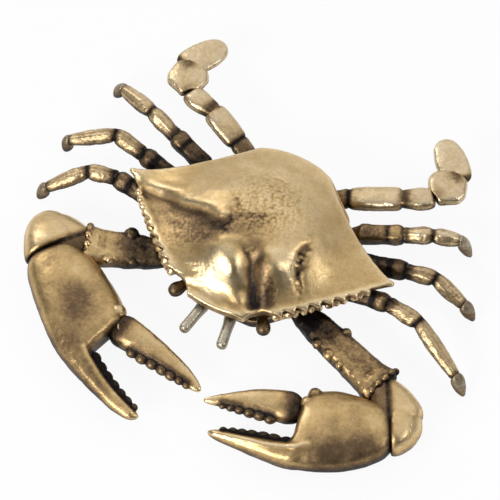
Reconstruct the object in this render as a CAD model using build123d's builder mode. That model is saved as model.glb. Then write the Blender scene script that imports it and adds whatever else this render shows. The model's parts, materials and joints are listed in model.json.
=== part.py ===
"""A brass swimming crab, a palm-sized ornament whose cast limbs turn on hidden pins.

Millimetres. The origin is the middle of the flat belly, +Z is up, the crab faces -Y, its left side is +X.
"""

import os
from math import cos, exp, hypot, radians, sin
from typing import NamedTuple

from build123d import *


class Knuckle(NamedTuple):
    """A fork and tongue that turn on a pin."""

    radius: float  # round end of the fork, and the eye of the tongue
    width: float  # over the fork's two cheeks
    tongue: float  # thickness of the tongue
    pin: float  # radius of the pin


class Claw(NamedTuple):
    """One claw, laid out flat at hip level."""

    name: str
    side: int  # +1 on the crab's left, -1 on its right
    arm_yaw: float  # arm, forward of straight out
    arm_length: float  # shoulder pin to elbow pin
    arm_half_width: float
    elbow_bend: float  # turn of the elbow piece past the arm
    carpus_in: float  # elbow pin to the corner of the elbow piece
    carpus_out: float  # corner to wrist pin
    carpus_bend: float  # turn at the corner
    carpus_radius: float
    palm_bend: float  # turn of the palm past the elbow piece
    palm_length: float  # wrist pin to finger pin, along the palm
    palm_edges: tuple  # past the wrist pin: distance, outer edge, inner edge, half height
    finger_offset: float  # finger pin, to the body's side of the palm's middle
    finger_length: float
    finger_opening: float  # movable finger, away from the palm's direction
    elbow: Knuckle
    wrist: Knuckle
    finger: Knuckle


class WalkingLeg(NamedTuple):
    """One walking leg: a thigh, and a shin that bends at the knee."""

    side: int  # +1 on the crab's left, -1 on its right
    number: int  # from the front
    yaw: float  # thigh, rearward of straight out
    roll: float  # lean of the plane the knee bends in, tip to the front
    thigh: float  # hip pin to knee pin
    carpus: float  # knee pin to the bend of the shin
    shank: float  # bend to the toe's seat
    carpus_bend: float  # turns of the shin's segments from the thigh's direction
    shank_bend: float
    toe_bend: float  # turn of the toe towards the floor


class Swimmer(NamedTuple):
    """One swimming leg; the yaws are rearward of straight out."""

    side: int
    thigh_yaw: float
    carpus_yaw: float
    plate_yaw: float
    paddle_yaw: float


# Fits and clearances
TURN_GAP = 0.2  # between faces that turn past one another
SIDE_GAP = 0.12  # each side of a tongue in its fork
PIN_FIT = 0.02  # radial, pin in the cheeks that hold it
PIN_RUN = 0.05  # radial, pin in the eye that turns on it
SEAT_GAP = 0.1  # around a piece let into another
FLOOR_GAP = 0.2  # under the limbs
PIN_COVER = 0.8  # metal left over the blind end of a hinge pin
PIN_SINK = 0.15  # end of a hinge pin below the metal around it
BEAD_ROUND = 0.75  # rounding of a bead, as a share of its smaller half size
BEYOND = 12.0  # length of a cut that has to leave the metal

# Body, from the belly up
STERNUM_THICKNESS = 3.4
STERNUM_EDGE = 1.2
HIP_EYE_THICKNESS = 2.6
HIP_EYE_RADIUS = 2.5
HIP_BOSS = 3.0
HIP_ROOM = 4.6
HIP_PIN_RADIUS = 1.0
HIP_PIN_ROOT = 1.4  # floor of the pin's hole in the sternum
HIP_PIN_GRIP = 2.0  # depth of the pin in the frame
FLANGE_THICKNESS = 0.8
FLANGE_INSET = 1.0
KEEL_WIDTH = 9.0
KEEL_FRONT = -12.0
KEEL_REAR = 9.5
KEEL_CORNER = 2.0
CHEST = (5.0, -13.6)  # front corner of the belly plate
CHEST_RADIUS = 3.6
SHOULDER = (10.0, -9.5)
SWIMMER_HIP = (6.0, 13.2)

# Carapace
SEAT_LEVEL = 10.0  # underside of the rim
RIM_THICKNESS = 1.5
SHELL_THICKNESS = 2.0
SHELL_FRONT = -21.6
SHELL_REAR = 16.7
SPINE_TIP = (29.3, -0.6)
SPINE_ROOT = (25.8, -3.6)
ORBIT_INNER = (6.2, -21.0)
ORBIT_OUTER = (10.8, -17.8)
ORBIT_DEEP = (8.0, -18.7)
FRONT_BULGE = (18.8, -10.9)
REAR_HOLLOW = (17.0, 6.0)
REAR_CORNER = (8.0, 15.0)
TOOTH_COUNT = 8
TOOTH_WIDTH = 2.0
TOOTH_REACH = 1.1
DOME_RISE = 7.8
DOME_MIDDLE = -2.5
DOME_HALF_WIDTH = 23.0
DOME_HALF_LENGTH = 18.5
DOME_FALL = 2.5
HUMPS = (  # place, rise and spread of the two swellings behind the front rim
    ((-2.9, -13.0), 1.75, 4.3),
    ((7.8, -10.6), 1.45, 3.2),
)
VALLEY = ((3.0, -10.6), (6.2, -17.0))  # dip between them
VALLEY_DEPTH = 1.4
VALLEY_SPREAD = 1.9
RIDGE = ((-28.0, -1.0), (-7.0, -4.6))  # crease from the right spine, with a sunk face before it
RIDGE_DROP = 1.5
RIDGE_EDGE = 2.2
RIDGE_REACH = 6.5
RIDGE_FADE = 2.5
TOP_ROOM = 4.0  # room for the relief over the dome
GRID_STEP = 1.5
BOSS_RADIUS = 2.6
SCREW_RADIUS = 1.0
SCREW_HEAD_RADIUS = 1.9
SCREW_HEAD = 1.2
SCREW_GRIP = 4.0  # depth in the shell's boss
SCREW_SLOT = 0.5
FRONT_SCREW = -8.0
REAR_SCREW = 6.0
FRONT_SCREW_SINK = 0.4

# Abdomen flap, let into the belly
FLAP_THICKNESS = 1.2
FLAP_SINK = 0.15
FLAP_FRONT = 2.4
FLAP_REAR = 13.4
FLAP_HALF_WIDTH = 4.4
FLAP_SHOULDER = 8.5

# Face
FACE_MIDDLE = -3.0
FACE_RADIUS = 14.5
FACE_THICKNESS = 2.3
FACE_HALF_ANGLE = 36.0
EYE_ANGLE = 31.0
EYE_LEVEL = 7.3
EYE_REACH = 20.4
EYE_BALL = 1.7
EYE_STALK = 0.9
PEG_DEPTH = 1.6
ANTENNA_ANGLE = 10.0
ANTENNA_LEVEL = 8.0
ANTENNA_REACH = 24.6
ANTENNA_ROOT = 0.85
ANTENNA_TIP = 0.45
MOUTH_THICKNESS = 1.1
MOUTH_HEIGHT = 3.2
MOUTH_FROM = 2.0
MOUTH_TO = 21.0

# Walking legs
THIGH_RISE = 8.5
THIGH_HALF_WIDTH = 2.0
THIGH_HALF_DEPTH = 1.85
SHIN_HALF_WIDTH = 1.75
SHIN_HALF_DEPTH = 1.65
TOE_ROOT = 1.25
TOE_TIP = 0.3
KNEE = Knuckle(radius=1.75, width=3.5, tongue=1.3, pin=0.5)
WALKING_HIPS = {1: (13.0, -3.6), 2: (13.6, 2.0), 3: (12.4, 7.4)}
WALKING_LEGS = (
    WalkingLeg(-1, 1, 4.5, 55.0, 19.4, 5.6, 9.4, 18.0, 52.0, 42.0),
    WalkingLeg(-1, 2, 12.0, 52.0, 16.8, 6.6, 10.3, 2.0, 44.0, 60.0),
    WalkingLeg(-1, 3, 20.0, 0.0, 14.7, 6.7, 9.0, -2.0, 20.0, 55.0),
    WalkingLeg(1, 1, 1.0, 54.0, 17.2, 6.8, 13.0, 12.0, 37.0, 41.0),
    WalkingLeg(1, 2, 10.8, 31.0, 16.8, 5.6, 7.8, 4.0, 39.0, 32.0),
    WalkingLeg(1, 3, 20.5, 0.0, 14.5, 5.6, 5.6, -3.0, 20.0, 58.0),
)

# Swimming legs
SWIMMER_RISE = 10.0
SWIMMER_THIGH = 17.6
SWIMMER_HALF_WIDTH = 2.5
SWIMMER_HALF_HEIGHT = 1.7
SWIMMER_CARPUS = 6.2
PLATE_LENGTH = 6.8
PLATE_HALF_WIDTH = 3.6
PLATE_HALF_HEIGHT = 1.4
PADDLE_LENGTH = 9.4
PADDLE_HALF_WIDTH = 3.1
PADDLE_HALF_HEIGHT = 0.95
SWIMMERS = (Swimmer(-1, 25.0, 13.0, 62.0, 124.0), Swimmer(1, 20.5, 27.0, 73.0, 135.0))
SWIMMER_KNEE = Knuckle(radius=2.1, width=3.2, tongue=1.2, pin=0.5)
PADDLE_HINGE = Knuckle(radius=1.8, width=2.5, tongue=0.9, pin=0.45)

# Claws
CLAWS = (
    Claw(
        name="right_claw",
        side=-1,
        arm_yaw=20.0,
        arm_length=21.5,
        arm_half_width=3.3,
        elbow_bend=4.0,
        carpus_in=7.6,
        carpus_out=8.8,
        carpus_bend=113.0,
        carpus_radius=5.3,
        palm_bend=5.0,
        palm_length=15.2,
        palm_edges=(
            (3.6, -8.0, 7.5, 4.4),
            (8.2, -8.5, 7.9, 4.4),
            (12.4, -8.5, 6.6, 3.9),
            (17.2, -7.8, -1.6, 2.9),
            (23.0, -6.2, -2.0, 2.2),
            (29.0, -4.2, -0.8, 1.5),
            (34.2, -0.8, 0.4, 0.5),
        ),
        finger_offset=5.2,
        finger_length=20.2,
        finger_opening=31.0,
        elbow=Knuckle(radius=3.0, width=6.0, tongue=2.4, pin=1.0),
        wrist=Knuckle(radius=5.4, width=8.0, tongue=2.8, pin=1.2),
        finger=Knuckle(radius=3.0, width=6.4, tongue=2.4, pin=0.9),
    ),
    Claw(
        name="left_claw",
        side=1,
        arm_yaw=20.5,
        arm_length=27.0,
        arm_half_width=3.2,
        elbow_bend=20.0,
        carpus_in=8.8,
        carpus_out=7.6,
        carpus_bend=102.0,
        carpus_radius=4.9,
        palm_bend=10.0,
        palm_length=13.2,
        palm_edges=(
            (3.2, -8.7, 7.5, 4.1),
            (7.0, -9.0, 8.0, 4.0),
            (10.6, -8.7, 6.2, 3.6),
            (14.8, -8.0, -2.4, 2.7),
            (20.2, -5.9, -1.2, 2.1),
            (25.6, -3.3, -0.3, 1.4),
            (30.1, -0.6, 0.4, 0.5),
        ),
        finger_offset=4.4,
        finger_length=17.8,
        finger_opening=9.0,
        elbow=Knuckle(radius=2.9, width=5.8, tongue=2.4, pin=1.0),
        wrist=Knuckle(radius=4.6, width=7.4, tongue=2.8, pin=1.2),
        finger=Knuckle(radius=2.7, width=6.0, tongue=2.4, pin=0.9),
    ),
)

# Levels and places that follow
HIP_LEVEL = STERNUM_THICKNESS + SIDE_GAP + HIP_EYE_THICKNESS / 2
FRAME_LEVEL = STERNUM_THICKNESS + 2 * SIDE_GAP + HIP_EYE_THICKNESS
FLANGE_LEVEL = SEAT_LEVEL - FLANGE_THICKNESS
RIM_TOP = SEAT_LEVEL + RIM_THICKNESS
SIDES = {-1: "right", 1: "left"}
HIPS = [
    (side * x, y)
    for side in SIDES
    for x, y in (SHOULDER, *WALKING_HIPS.values(), SWIMMER_HIP)
]
FACE_ORIGIN = (0.0, FACE_MIDDLE)


def direction(angle, elevation=0.0):
    """Unit vector at an angle from +X about +Z, raised by an elevation, in degrees."""
    a, e = radians(angle), radians(elevation)
    return Vector(cos(a) * cos(e), sin(a) * cos(e), sin(e))


def disc(plane, start, end, radius, mode=Mode.ADD):
    """Round bar or bore about a plane's axis, between two heights above the plane."""
    with BuildSketch(plane.offset(start)) as end_face:
        Circle(radius)
    extrude(end_face.sketch, amount=end - start, mode=mode)


def bead(plane, radius, half_height):
    """Round bead about a plane's axis, with small flats at its poles."""
    upright = Plane(origin=plane.origin, x_dir=plane.x_dir, z_dir=plane.x_dir.cross(plane.z_dir))
    edge = BEAD_ROUND * min(radius, half_height)
    with BuildSketch(upright) as half_face:
        with BuildLine() as outline:
            low, high = (radius, -half_height), (radius, half_height)
            FilletPolyline((0, -half_height), low, high, (0, half_height), radius=edge)
            Line((0, half_height), (0, -half_height))
        make_face(outline.edges())
    revolve(half_face.sketch, axis=Axis(plane.origin, plane.z_dir))


def limb(plane, stations):
    """Casting through ovals on a path in a plane.

    A station is x, y, heading in degrees, half size along the plane's axis, half size across.
    """
    sections = []
    for x, y, heading, axial, across in stations:
        tangent = plane.x_dir * cos(radians(heading)) + plane.y_dir * sin(radians(heading))
        at = plane.from_local_coords((x, y, 0))
        with BuildSketch(Plane(origin=at, x_dir=plane.z_dir, z_dir=tangent)) as section:
            Ellipse(axial, across)
        sections.append(section.sketch)
    loft(sections)


def fork(hinge, knuckle, entry):
    """Round the end about a hinge, slot it for a tongue, and drill it for the pin from the entry side."""
    slot = knuckle.tongue / 2 + SIDE_GAP
    bead(hinge, knuckle.radius, knuckle.width / 2)
    disc(hinge, -slot, slot, knuckle.radius + TURN_GAP, Mode.SUBTRACT)
    blind = knuckle.width / 2 - PIN_COVER
    disc(hinge, -entry * blind, entry * BEYOND, knuckle.pin + PIN_FIT, Mode.SUBTRACT)


def tongue(hinge, knuckle):
    """Clear the room of a fork's cheeks about a hinge and leave an eye for the pin."""
    half = knuckle.tongue / 2
    for face in (1, -1):
        disc(hinge, face * half, face * BEYOND, knuckle.radius + TURN_GAP, Mode.SUBTRACT)
    disc(hinge, -half, half, knuckle.radius)
    disc(hinge, -half, half, knuckle.pin + PIN_RUN, Mode.SUBTRACT)


def hip_eye(hip):
    """Thin the limb's root to an eye that lies between sternum and frame."""
    half = HIP_EYE_THICKNESS / 2
    for face in (1, -1):
        disc(hip, face * half, face * BEYOND, HIP_ROOM, Mode.SUBTRACT)
    disc(hip, -half, half, HIP_EYE_RADIUS)
    disc(hip, -half, half, HIP_PIN_RADIUS + PIN_RUN, Mode.SUBTRACT)


def hinge_pin(hinge, knuckle, entry):
    """Pin of a fork, flush on the entry side and blind on the other."""
    blind = knuckle.width / 2 - PIN_COVER
    disc(hinge, -entry * blind, entry * (knuckle.width / 2 - PIN_SINK), knuckle.pin)


def keep(piece, name):
    """Label a piece and write its file."""
    piece.part.label = name
    export_step(piece.part, f"parts/{name}.step")


def from_line(x, y, start, end):
    """Distance to the right of a line on the shell, and distance past its nearer end."""
    run, rise = end[0] - start[0], end[1] - start[1]
    length = hypot(run, rise)
    along = ((x - start[0]) * run + (y - start[1]) * rise) / length
    right = ((x - start[0]) * rise - (y - start[1]) * run) / length
    return right, max(-along, along - length, 0.0)


def shell_height(x, y):
    """Top of the carapace over a point: a dome on a flat brim, with humps, a valley and a ridge."""
    reach = hypot(x / DOME_HALF_WIDTH, (y - DOME_MIDDLE) / DOME_HALF_LENGTH)
    height = RIM_TOP + DOME_RISE * exp(-DOME_FALL * reach**3)
    for at, rise, spread in HUMPS:
        away = hypot(x - at[0], y - at[1]) / spread
        height += rise * exp(-(away**2))
    away = hypot(*from_line(x, y, *VALLEY)) / VALLEY_SPREAD
    height -= VALLEY_DEPTH * exp(-(away**2))
    front, past = from_line(x, y, *RIDGE)
    step = 1 / (1 + exp(4 - 8 * front / RIDGE_EDGE))
    fade = exp(-((front / RIDGE_REACH) ** 2) - (past / RIDGE_FADE) ** 2)
    return height - RIDGE_DROP * step * fade


def shell_outline():
    """Outline of the carapace from above, without its teeth."""
    with BuildLine() as outline:
        ThreePointArc((-ORBIT_INNER[0], ORBIT_INNER[1]), (0, SHELL_FRONT), ORBIT_INNER)
        ThreePointArc(ORBIT_INNER, ORBIT_DEEP, ORBIT_OUTER)
        ThreePointArc(ORBIT_OUTER, FRONT_BULGE, SPINE_ROOT)
        Line(SPINE_ROOT, SPINE_TIP)
        ThreePointArc(SPINE_TIP, REAR_HOLLOW, REAR_CORNER)
        ThreePointArc(REAR_CORNER, (0, SHELL_REAR), (-REAR_CORNER[0], REAR_CORNER[1]))
        ThreePointArc(*((-x, y) for x, y in (ORBIT_INNER, ORBIT_DEEP, ORBIT_OUTER)))
        ThreePointArc(*((-x, y) for x, y in (ORBIT_OUTER, FRONT_BULGE, SPINE_ROOT)))
        Polyline(*((-x, y) for x, y in (SPINE_ROOT, SPINE_TIP)))
        ThreePointArc(*((-x, y) for x, y in (SPINE_TIP, REAR_HOLLOW, REAR_CORNER)))
    make_face(outline.edges())


def shell_teeth():
    """Teeth of the front margin, between the orbit and the side spine."""
    margin = ThreePointArc(ORBIT_OUTER, FRONT_BULGE, SPINE_ROOT, mode=Mode.PRIVATE)
    for index in range(TOOTH_COUNT):
        at = (index + 0.5) / TOOTH_COUNT
        foot, along = margin.position_at(at), margin.tangent_at(at)
        out = Vector(along.Y, -along.X)
        tip = foot + out * TOOTH_REACH + along * TOOTH_WIDTH * 0.3
        root = out * -TOOTH_REACH
        start, end = foot - along * TOOTH_WIDTH / 2, foot + along * TOOTH_WIDTH / 2
        corners = [(p.X, p.Y) for p in (start + root, start, tip, end, end + root)]
        for side in (1, -1):
            with BuildLine() as tooth:
                Polyline(*((side * x, y) for x, y in corners), close=True)
            make_face(tooth.edges())


def flap_outline(inset):
    """Outline of the abdomen flap, drawn in by an inset."""
    half = FLAP_HALF_WIDTH - inset
    with BuildLine() as outline:
        Polyline((-half, FLAP_REAR - inset), (half, FLAP_REAR - inset), (half, FLAP_SHOULDER))
        Spline((half, FLAP_SHOULDER), (0, FLAP_FRONT + inset), tangents=((0, -1), (-1, 0)))
        Spline((0, FLAP_FRONT + inset), (-half, FLAP_SHOULDER), tangents=((-1, 0), (0, 1)))
        Line((-half, FLAP_SHOULDER), (-half, FLAP_REAR - inset))
    make_face(outline.edges())


def face_arc(inner, outer, from_angle, to_angle):
    """Piece of a ring about the face's middle; angles from straight ahead, to the crab's left."""
    with BuildLine() as outline:
        a = CenterArc(FACE_ORIGIN, outer, from_angle - 90, to_angle - from_angle)
        b = CenterArc(FACE_ORIGIN, inner, from_angle - 90, to_angle - from_angle)
        Line(a @ 0, b @ 0)
        Line(a @ 1, b @ 1)
    make_face(outline.edges())


def face_plane(angle, level, reach):
    """Plane across a spoke of the face, its axis pointing outward."""
    spoke = direction(angle - 90)
    return Plane(origin=Vector(0, FACE_MIDDLE, level) + spoke * reach, x_dir=(0, 0, 1), z_dir=spoke)


os.makedirs("parts", exist_ok=True)
hinges = {}

# Sternum: belly plate, keel, pin seats, screw holes and the flap's pocket
flap_top = FLAP_SINK + FLAP_THICKNESS
screws = ((FRONT_SCREW, FRONT_SCREW_SINK), (REAR_SCREW, flap_top))
with BuildPart() as sternum:
    with BuildSketch():
        with Locations(*HIPS):
            Circle(HIP_BOSS)
        with Locations(*((side * CHEST[0], CHEST[1]) for side in SIDES)):
            Circle(CHEST_RADIUS)
        make_hull()
    extrude(amount=STERNUM_THICKNESS)
    fillet(sternum.faces().sort_by(Axis.Z)[0].edges(), STERNUM_EDGE)
    with BuildSketch(Plane.XY.offset(STERNUM_THICKNESS)):
        with Locations((0, (KEEL_FRONT + KEEL_REAR) / 2)):
            RectangleRounded(KEEL_WIDTH, KEEL_REAR - KEEL_FRONT, KEEL_CORNER)
    extrude(amount=FRAME_LEVEL - STERNUM_THICKNESS)
    for x, y in HIPS:
        disc(Plane((x, y, 0)), HIP_PIN_ROOT, FRAME_LEVEL, HIP_PIN_RADIUS + PIN_FIT, Mode.SUBTRACT)
    with BuildSketch():
        flap_outline(0.0)
    extrude(amount=flap_top, mode=Mode.SUBTRACT)
    for y, sink in screws:
        disc(Plane((0, y, 0)), 0, FRAME_LEVEL, SCREW_RADIUS + SEAT_GAP, Mode.SUBTRACT)
        disc(Plane((0, y, 0)), 0, sink + SCREW_HEAD, SCREW_HEAD_RADIUS + SEAT_GAP, Mode.SUBTRACT)
keep(sternum, "sternum")

with BuildPart() as abdomen_flap:
    with BuildSketch(Plane.XY.offset(FLAP_SINK)):
        flap_outline(SEAT_GAP)
    extrude(amount=FLAP_THICKNESS)
keep(abdomen_flap, "abdomen_flap")

# Thorax frame: block over the limb roots, and the flange that closes the shell
with BuildPart() as thorax_frame:
    with BuildSketch(Plane.XY.offset(FRAME_LEVEL)):
        with Locations(*HIPS):
            Circle(HIP_BOSS)
        make_hull()
    extrude(amount=SEAT_LEVEL - FRAME_LEVEL)
    with BuildSketch(Plane.XY.offset(FLANGE_LEVEL)):
        shell_outline()
        offset(amount=-FLANGE_INSET, mode=Mode.REPLACE)
    extrude(amount=FLANGE_THICKNESS)
    for x, y in HIPS:
        hole = HIP_PIN_RADIUS + PIN_FIT
        disc(Plane((x, y, 0)), FRAME_LEVEL, FRAME_LEVEL + HIP_PIN_GRIP, hole, Mode.SUBTRACT)
    for y, sink in screws:
        disc(Plane((0, y, 0)), FRAME_LEVEL, SEAT_LEVEL, SCREW_RADIUS + SEAT_GAP, Mode.SUBTRACT)
keep(thorax_frame, "thorax_frame")

with BuildPart() as hip_pins:
    for x, y in HIPS:
        disc(Plane((x, y, 0)), HIP_PIN_ROOT, FRAME_LEVEL + HIP_PIN_GRIP, HIP_PIN_RADIUS)
keep(hip_pins, "hip_pins")

# Carapace: a slab of even height cut to the outline, with two screw bosses under it
half_width = SPINE_TIP[0] + 2 * GRID_STEP
half_length = (SHELL_REAR - SHELL_FRONT) / 2 + 2 * GRID_STEP
middle = (SHELL_REAR + SHELL_FRONT) / 2
columns, rows = round(2 * half_width / GRID_STEP), round(2 * half_length / GRID_STEP)
skin = Face.make_surface_from_array_of_points(
    [
        [
            (x, y, shell_height(x, y))
            for x in (half_width * (2 * i / columns - 1) for i in range(columns + 1))
        ]
        for y in (middle + half_length * (2 * j / rows - 1) for j in range(rows + 1))
    ]
)
slab = Solid.extrude(skin, Vector(0, 0, -SHELL_THICKNESS))
with BuildPart() as carapace:
    with BuildSketch(Plane.XY.offset(SEAT_LEVEL)):
        shell_outline()
        shell_teeth()
    extrude(amount=RIM_THICKNESS + DOME_RISE + TOP_ROOM)
    add(slab, mode=Mode.INTERSECT)
    for y, sink in screws:
        roof = shell_height(0, y) - SHELL_THICKNESS / 2
        disc(Plane((0, y, 0)), SEAT_LEVEL, roof, BOSS_RADIUS)
        hole = SEAT_LEVEL + SCREW_GRIP + sink
        disc(Plane((0, y, 0)), SEAT_LEVEL, hole, SCREW_RADIUS + PIN_FIT, Mode.SUBTRACT)
keep(carapace, "carapace")

with BuildPart() as shell_screws:
    for y, sink in screws:
        axis = Plane((0, y, sink))
        disc(axis, 0, SCREW_HEAD, SCREW_HEAD_RADIUS)
        disc(axis, 0, SEAT_LEVEL + SCREW_GRIP - SEAT_GAP, SCREW_RADIUS)
        with BuildSketch(axis):
            Rectangle(2 * SCREW_HEAD_RADIUS, SCREW_SLOT)
        extrude(amount=SCREW_SLOT, mode=Mode.SUBTRACT)
keep(shell_screws, "shell_screws")

# Face: front wall, eyes, antennae and mouth plates
face_back = FACE_RADIUS - PEG_DEPTH
with BuildPart() as face_plate:
    with BuildSketch(Plane.XY.offset(STERNUM_THICKNESS)):
        face_arc(FACE_RADIUS - FACE_THICKNESS, FACE_RADIUS, -FACE_HALF_ANGLE, FACE_HALF_ANGLE)
    extrude(amount=FLANGE_LEVEL - STERNUM_THICKNESS)
    for side in SIDES:
        eye = face_plane(side * EYE_ANGLE, EYE_LEVEL, 0)
        disc(eye, face_back, FACE_RADIUS + PEG_DEPTH, EYE_STALK + PIN_FIT, Mode.SUBTRACT)
        antenna = face_plane(side * ANTENNA_ANGLE, ANTENNA_LEVEL, 0)
        disc(antenna, face_back, FACE_RADIUS + PEG_DEPTH, ANTENNA_ROOT + PIN_FIT, Mode.SUBTRACT)
keep(face_plate, "face_plate")

with BuildPart() as eyes:
    for side in SIDES:
        eye = face_plane(side * EYE_ANGLE, EYE_LEVEL, 0)
        disc(eye, face_back, EYE_REACH, EYE_STALK)
        with Locations(eye.from_local_coords((0, 0, EYE_REACH))):
            Sphere(EYE_BALL)
keep(eyes, "eyes")

with BuildPart() as antennae:
    for side in SIDES:
        antenna = face_plane(side * ANTENNA_ANGLE, ANTENNA_LEVEL, 0)
        disc(antenna, face_back, FACE_RADIUS + PEG_DEPTH, ANTENNA_ROOT)
        for reach, radius in ((FACE_RADIUS + PEG_DEPTH, ANTENNA_ROOT), (ANTENNA_REACH, ANTENNA_TIP)):
            with BuildSketch(antenna.offset(reach)):
                Circle(radius)
        loft()
keep(antennae, "antennae")

with BuildPart() as mouth_plates:
    with BuildSketch(Plane.XY.offset(STERNUM_THICKNESS + SEAT_GAP)):
        for side in SIDES:
            reach = sorted((side * MOUTH_FROM, side * MOUTH_TO))
            face_arc(FACE_RADIUS + PIN_FIT, FACE_RADIUS + MOUTH_THICKNESS, *reach)
    extrude(amount=MOUTH_HEIGHT)
keep(mouth_plates, "mouth_plates")

# Walking legs: thigh on the hip pin, shin on the knee pin, toe soldered to the shin
for leg in WALKING_LEGS:
    side, (hip_x, hip_y) = leg.side, WALKING_HIPS[leg.number]
    name = f"{SIDES[side]}_leg_{leg.number}"
    heading = leg.yaw if side > 0 else 180 - leg.yaw
    hip = Plane(origin=(side * hip_x, hip_y, HIP_LEVEL), x_dir=direction(heading), z_dir=(0, 0, 1))
    along = direction(heading, THIGH_RISE)
    upward = direction(heading, THIGH_RISE + 90)
    forward = direction(heading - 90 * side)
    bend = forward * sin(radians(leg.roll)) - upward * cos(radians(leg.roll))
    knee = Plane(origin=hip.origin + along * leg.thigh, x_dir=along, z_dir=along.cross(bend))
    hinges[f"{name}_hip"], hinges[f"{name}_knee"] = hip, knee

    with BuildPart() as thigh:
        limb(
            knee,
            (
                (-leg.thigh, 0, 0, THIGH_HALF_WIDTH, THIGH_HALF_DEPTH * 0.8),
                (-leg.thigh * 0.55, 0, 0, THIGH_HALF_WIDTH * 1.05, THIGH_HALF_DEPTH),
                (-leg.thigh * 0.2, 0, 0, THIGH_HALF_WIDTH, THIGH_HALF_DEPTH),
                (0, 0, 0, KNEE.width / 2 * 0.78, KNEE.radius * 0.75),
            ),
        )
        hip_eye(hip)
        fork(knee, KNEE, side)
    keep(thigh, f"{name}_thigh")

    with BuildPart() as knee_pin:
        hinge_pin(knee, KNEE, side)
    keep(knee_pin, f"{name}_knee_pin")

    turn, shank_turn, toe_turn = (radians(a) for a in (leg.carpus_bend, leg.shank_bend, leg.toe_bend))
    ankle = (leg.carpus * cos(turn), leg.carpus * sin(turn))
    seat = (ankle[0] + leg.shank * cos(shank_turn), ankle[1] + leg.shank * sin(shank_turn))
    wide, deep = SHIN_HALF_WIDTH, SHIN_HALF_DEPTH
    with BuildPart() as shin:
        limb(
            knee,
            (
                (0, 0, leg.carpus_bend, wide * 0.88, deep * 0.72),
                (ankle[0] * 0.6, ankle[1] * 0.6, leg.carpus_bend, wide, deep),
                (*ankle, leg.carpus_bend, wide * 0.76, deep * 0.74),
            ),
        )
        ankle_plane = Plane(origin=knee.from_local_coords((*ankle, 0)), x_dir=along, z_dir=knee.z_dir)
        bead(ankle_plane, deep * 0.9, wide * 0.92)
        limb(
            knee,
            (
                (*ankle, leg.shank_bend, wide * 0.74, deep * 0.72),
                (
                    ankle[0] * 0.65 + seat[0] * 0.35,
                    ankle[1] * 0.65 + seat[1] * 0.35,
                    leg.shank_bend,
                    wide,
                    deep,
                ),
                (*seat, leg.shank_bend, TOE_ROOT * 1.04, TOE_ROOT),
            ),
        )
        tongue(knee, KNEE)
    keep(shin, f"{name}_shin")

    shank_way = along * cos(shank_turn) + bend * sin(shank_turn)
    downward = (Vector(0, 0, -1) + shank_way * shank_way.Z).normalized()
    toe_seat = Plane(
        origin=knee.from_local_coords((*seat, 0)), x_dir=shank_way, z_dir=shank_way.cross(downward)
    )
    toe_way = shank_way * cos(toe_turn) + downward * sin(toe_turn)
    toe_length = (toe_seat.origin.Z - FLOOR_GAP - TOE_TIP) / -toe_way.Z
    reach = (toe_length * cos(toe_turn), toe_length * sin(toe_turn))
    with BuildPart() as toe:
        limb(
            toe_seat,
            (
                (0, 0, 0, TOE_ROOT * 0.95, TOE_ROOT * 0.9),
                (reach[0] * 0.45, reach[1] * 0.4, leg.toe_bend, TOE_ROOT * 0.78, TOE_ROOT * 0.72),
                (*reach, leg.toe_bend, TOE_TIP, TOE_TIP * 0.95),
            ),
        )
    keep(toe, f"{name}_toe")

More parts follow.
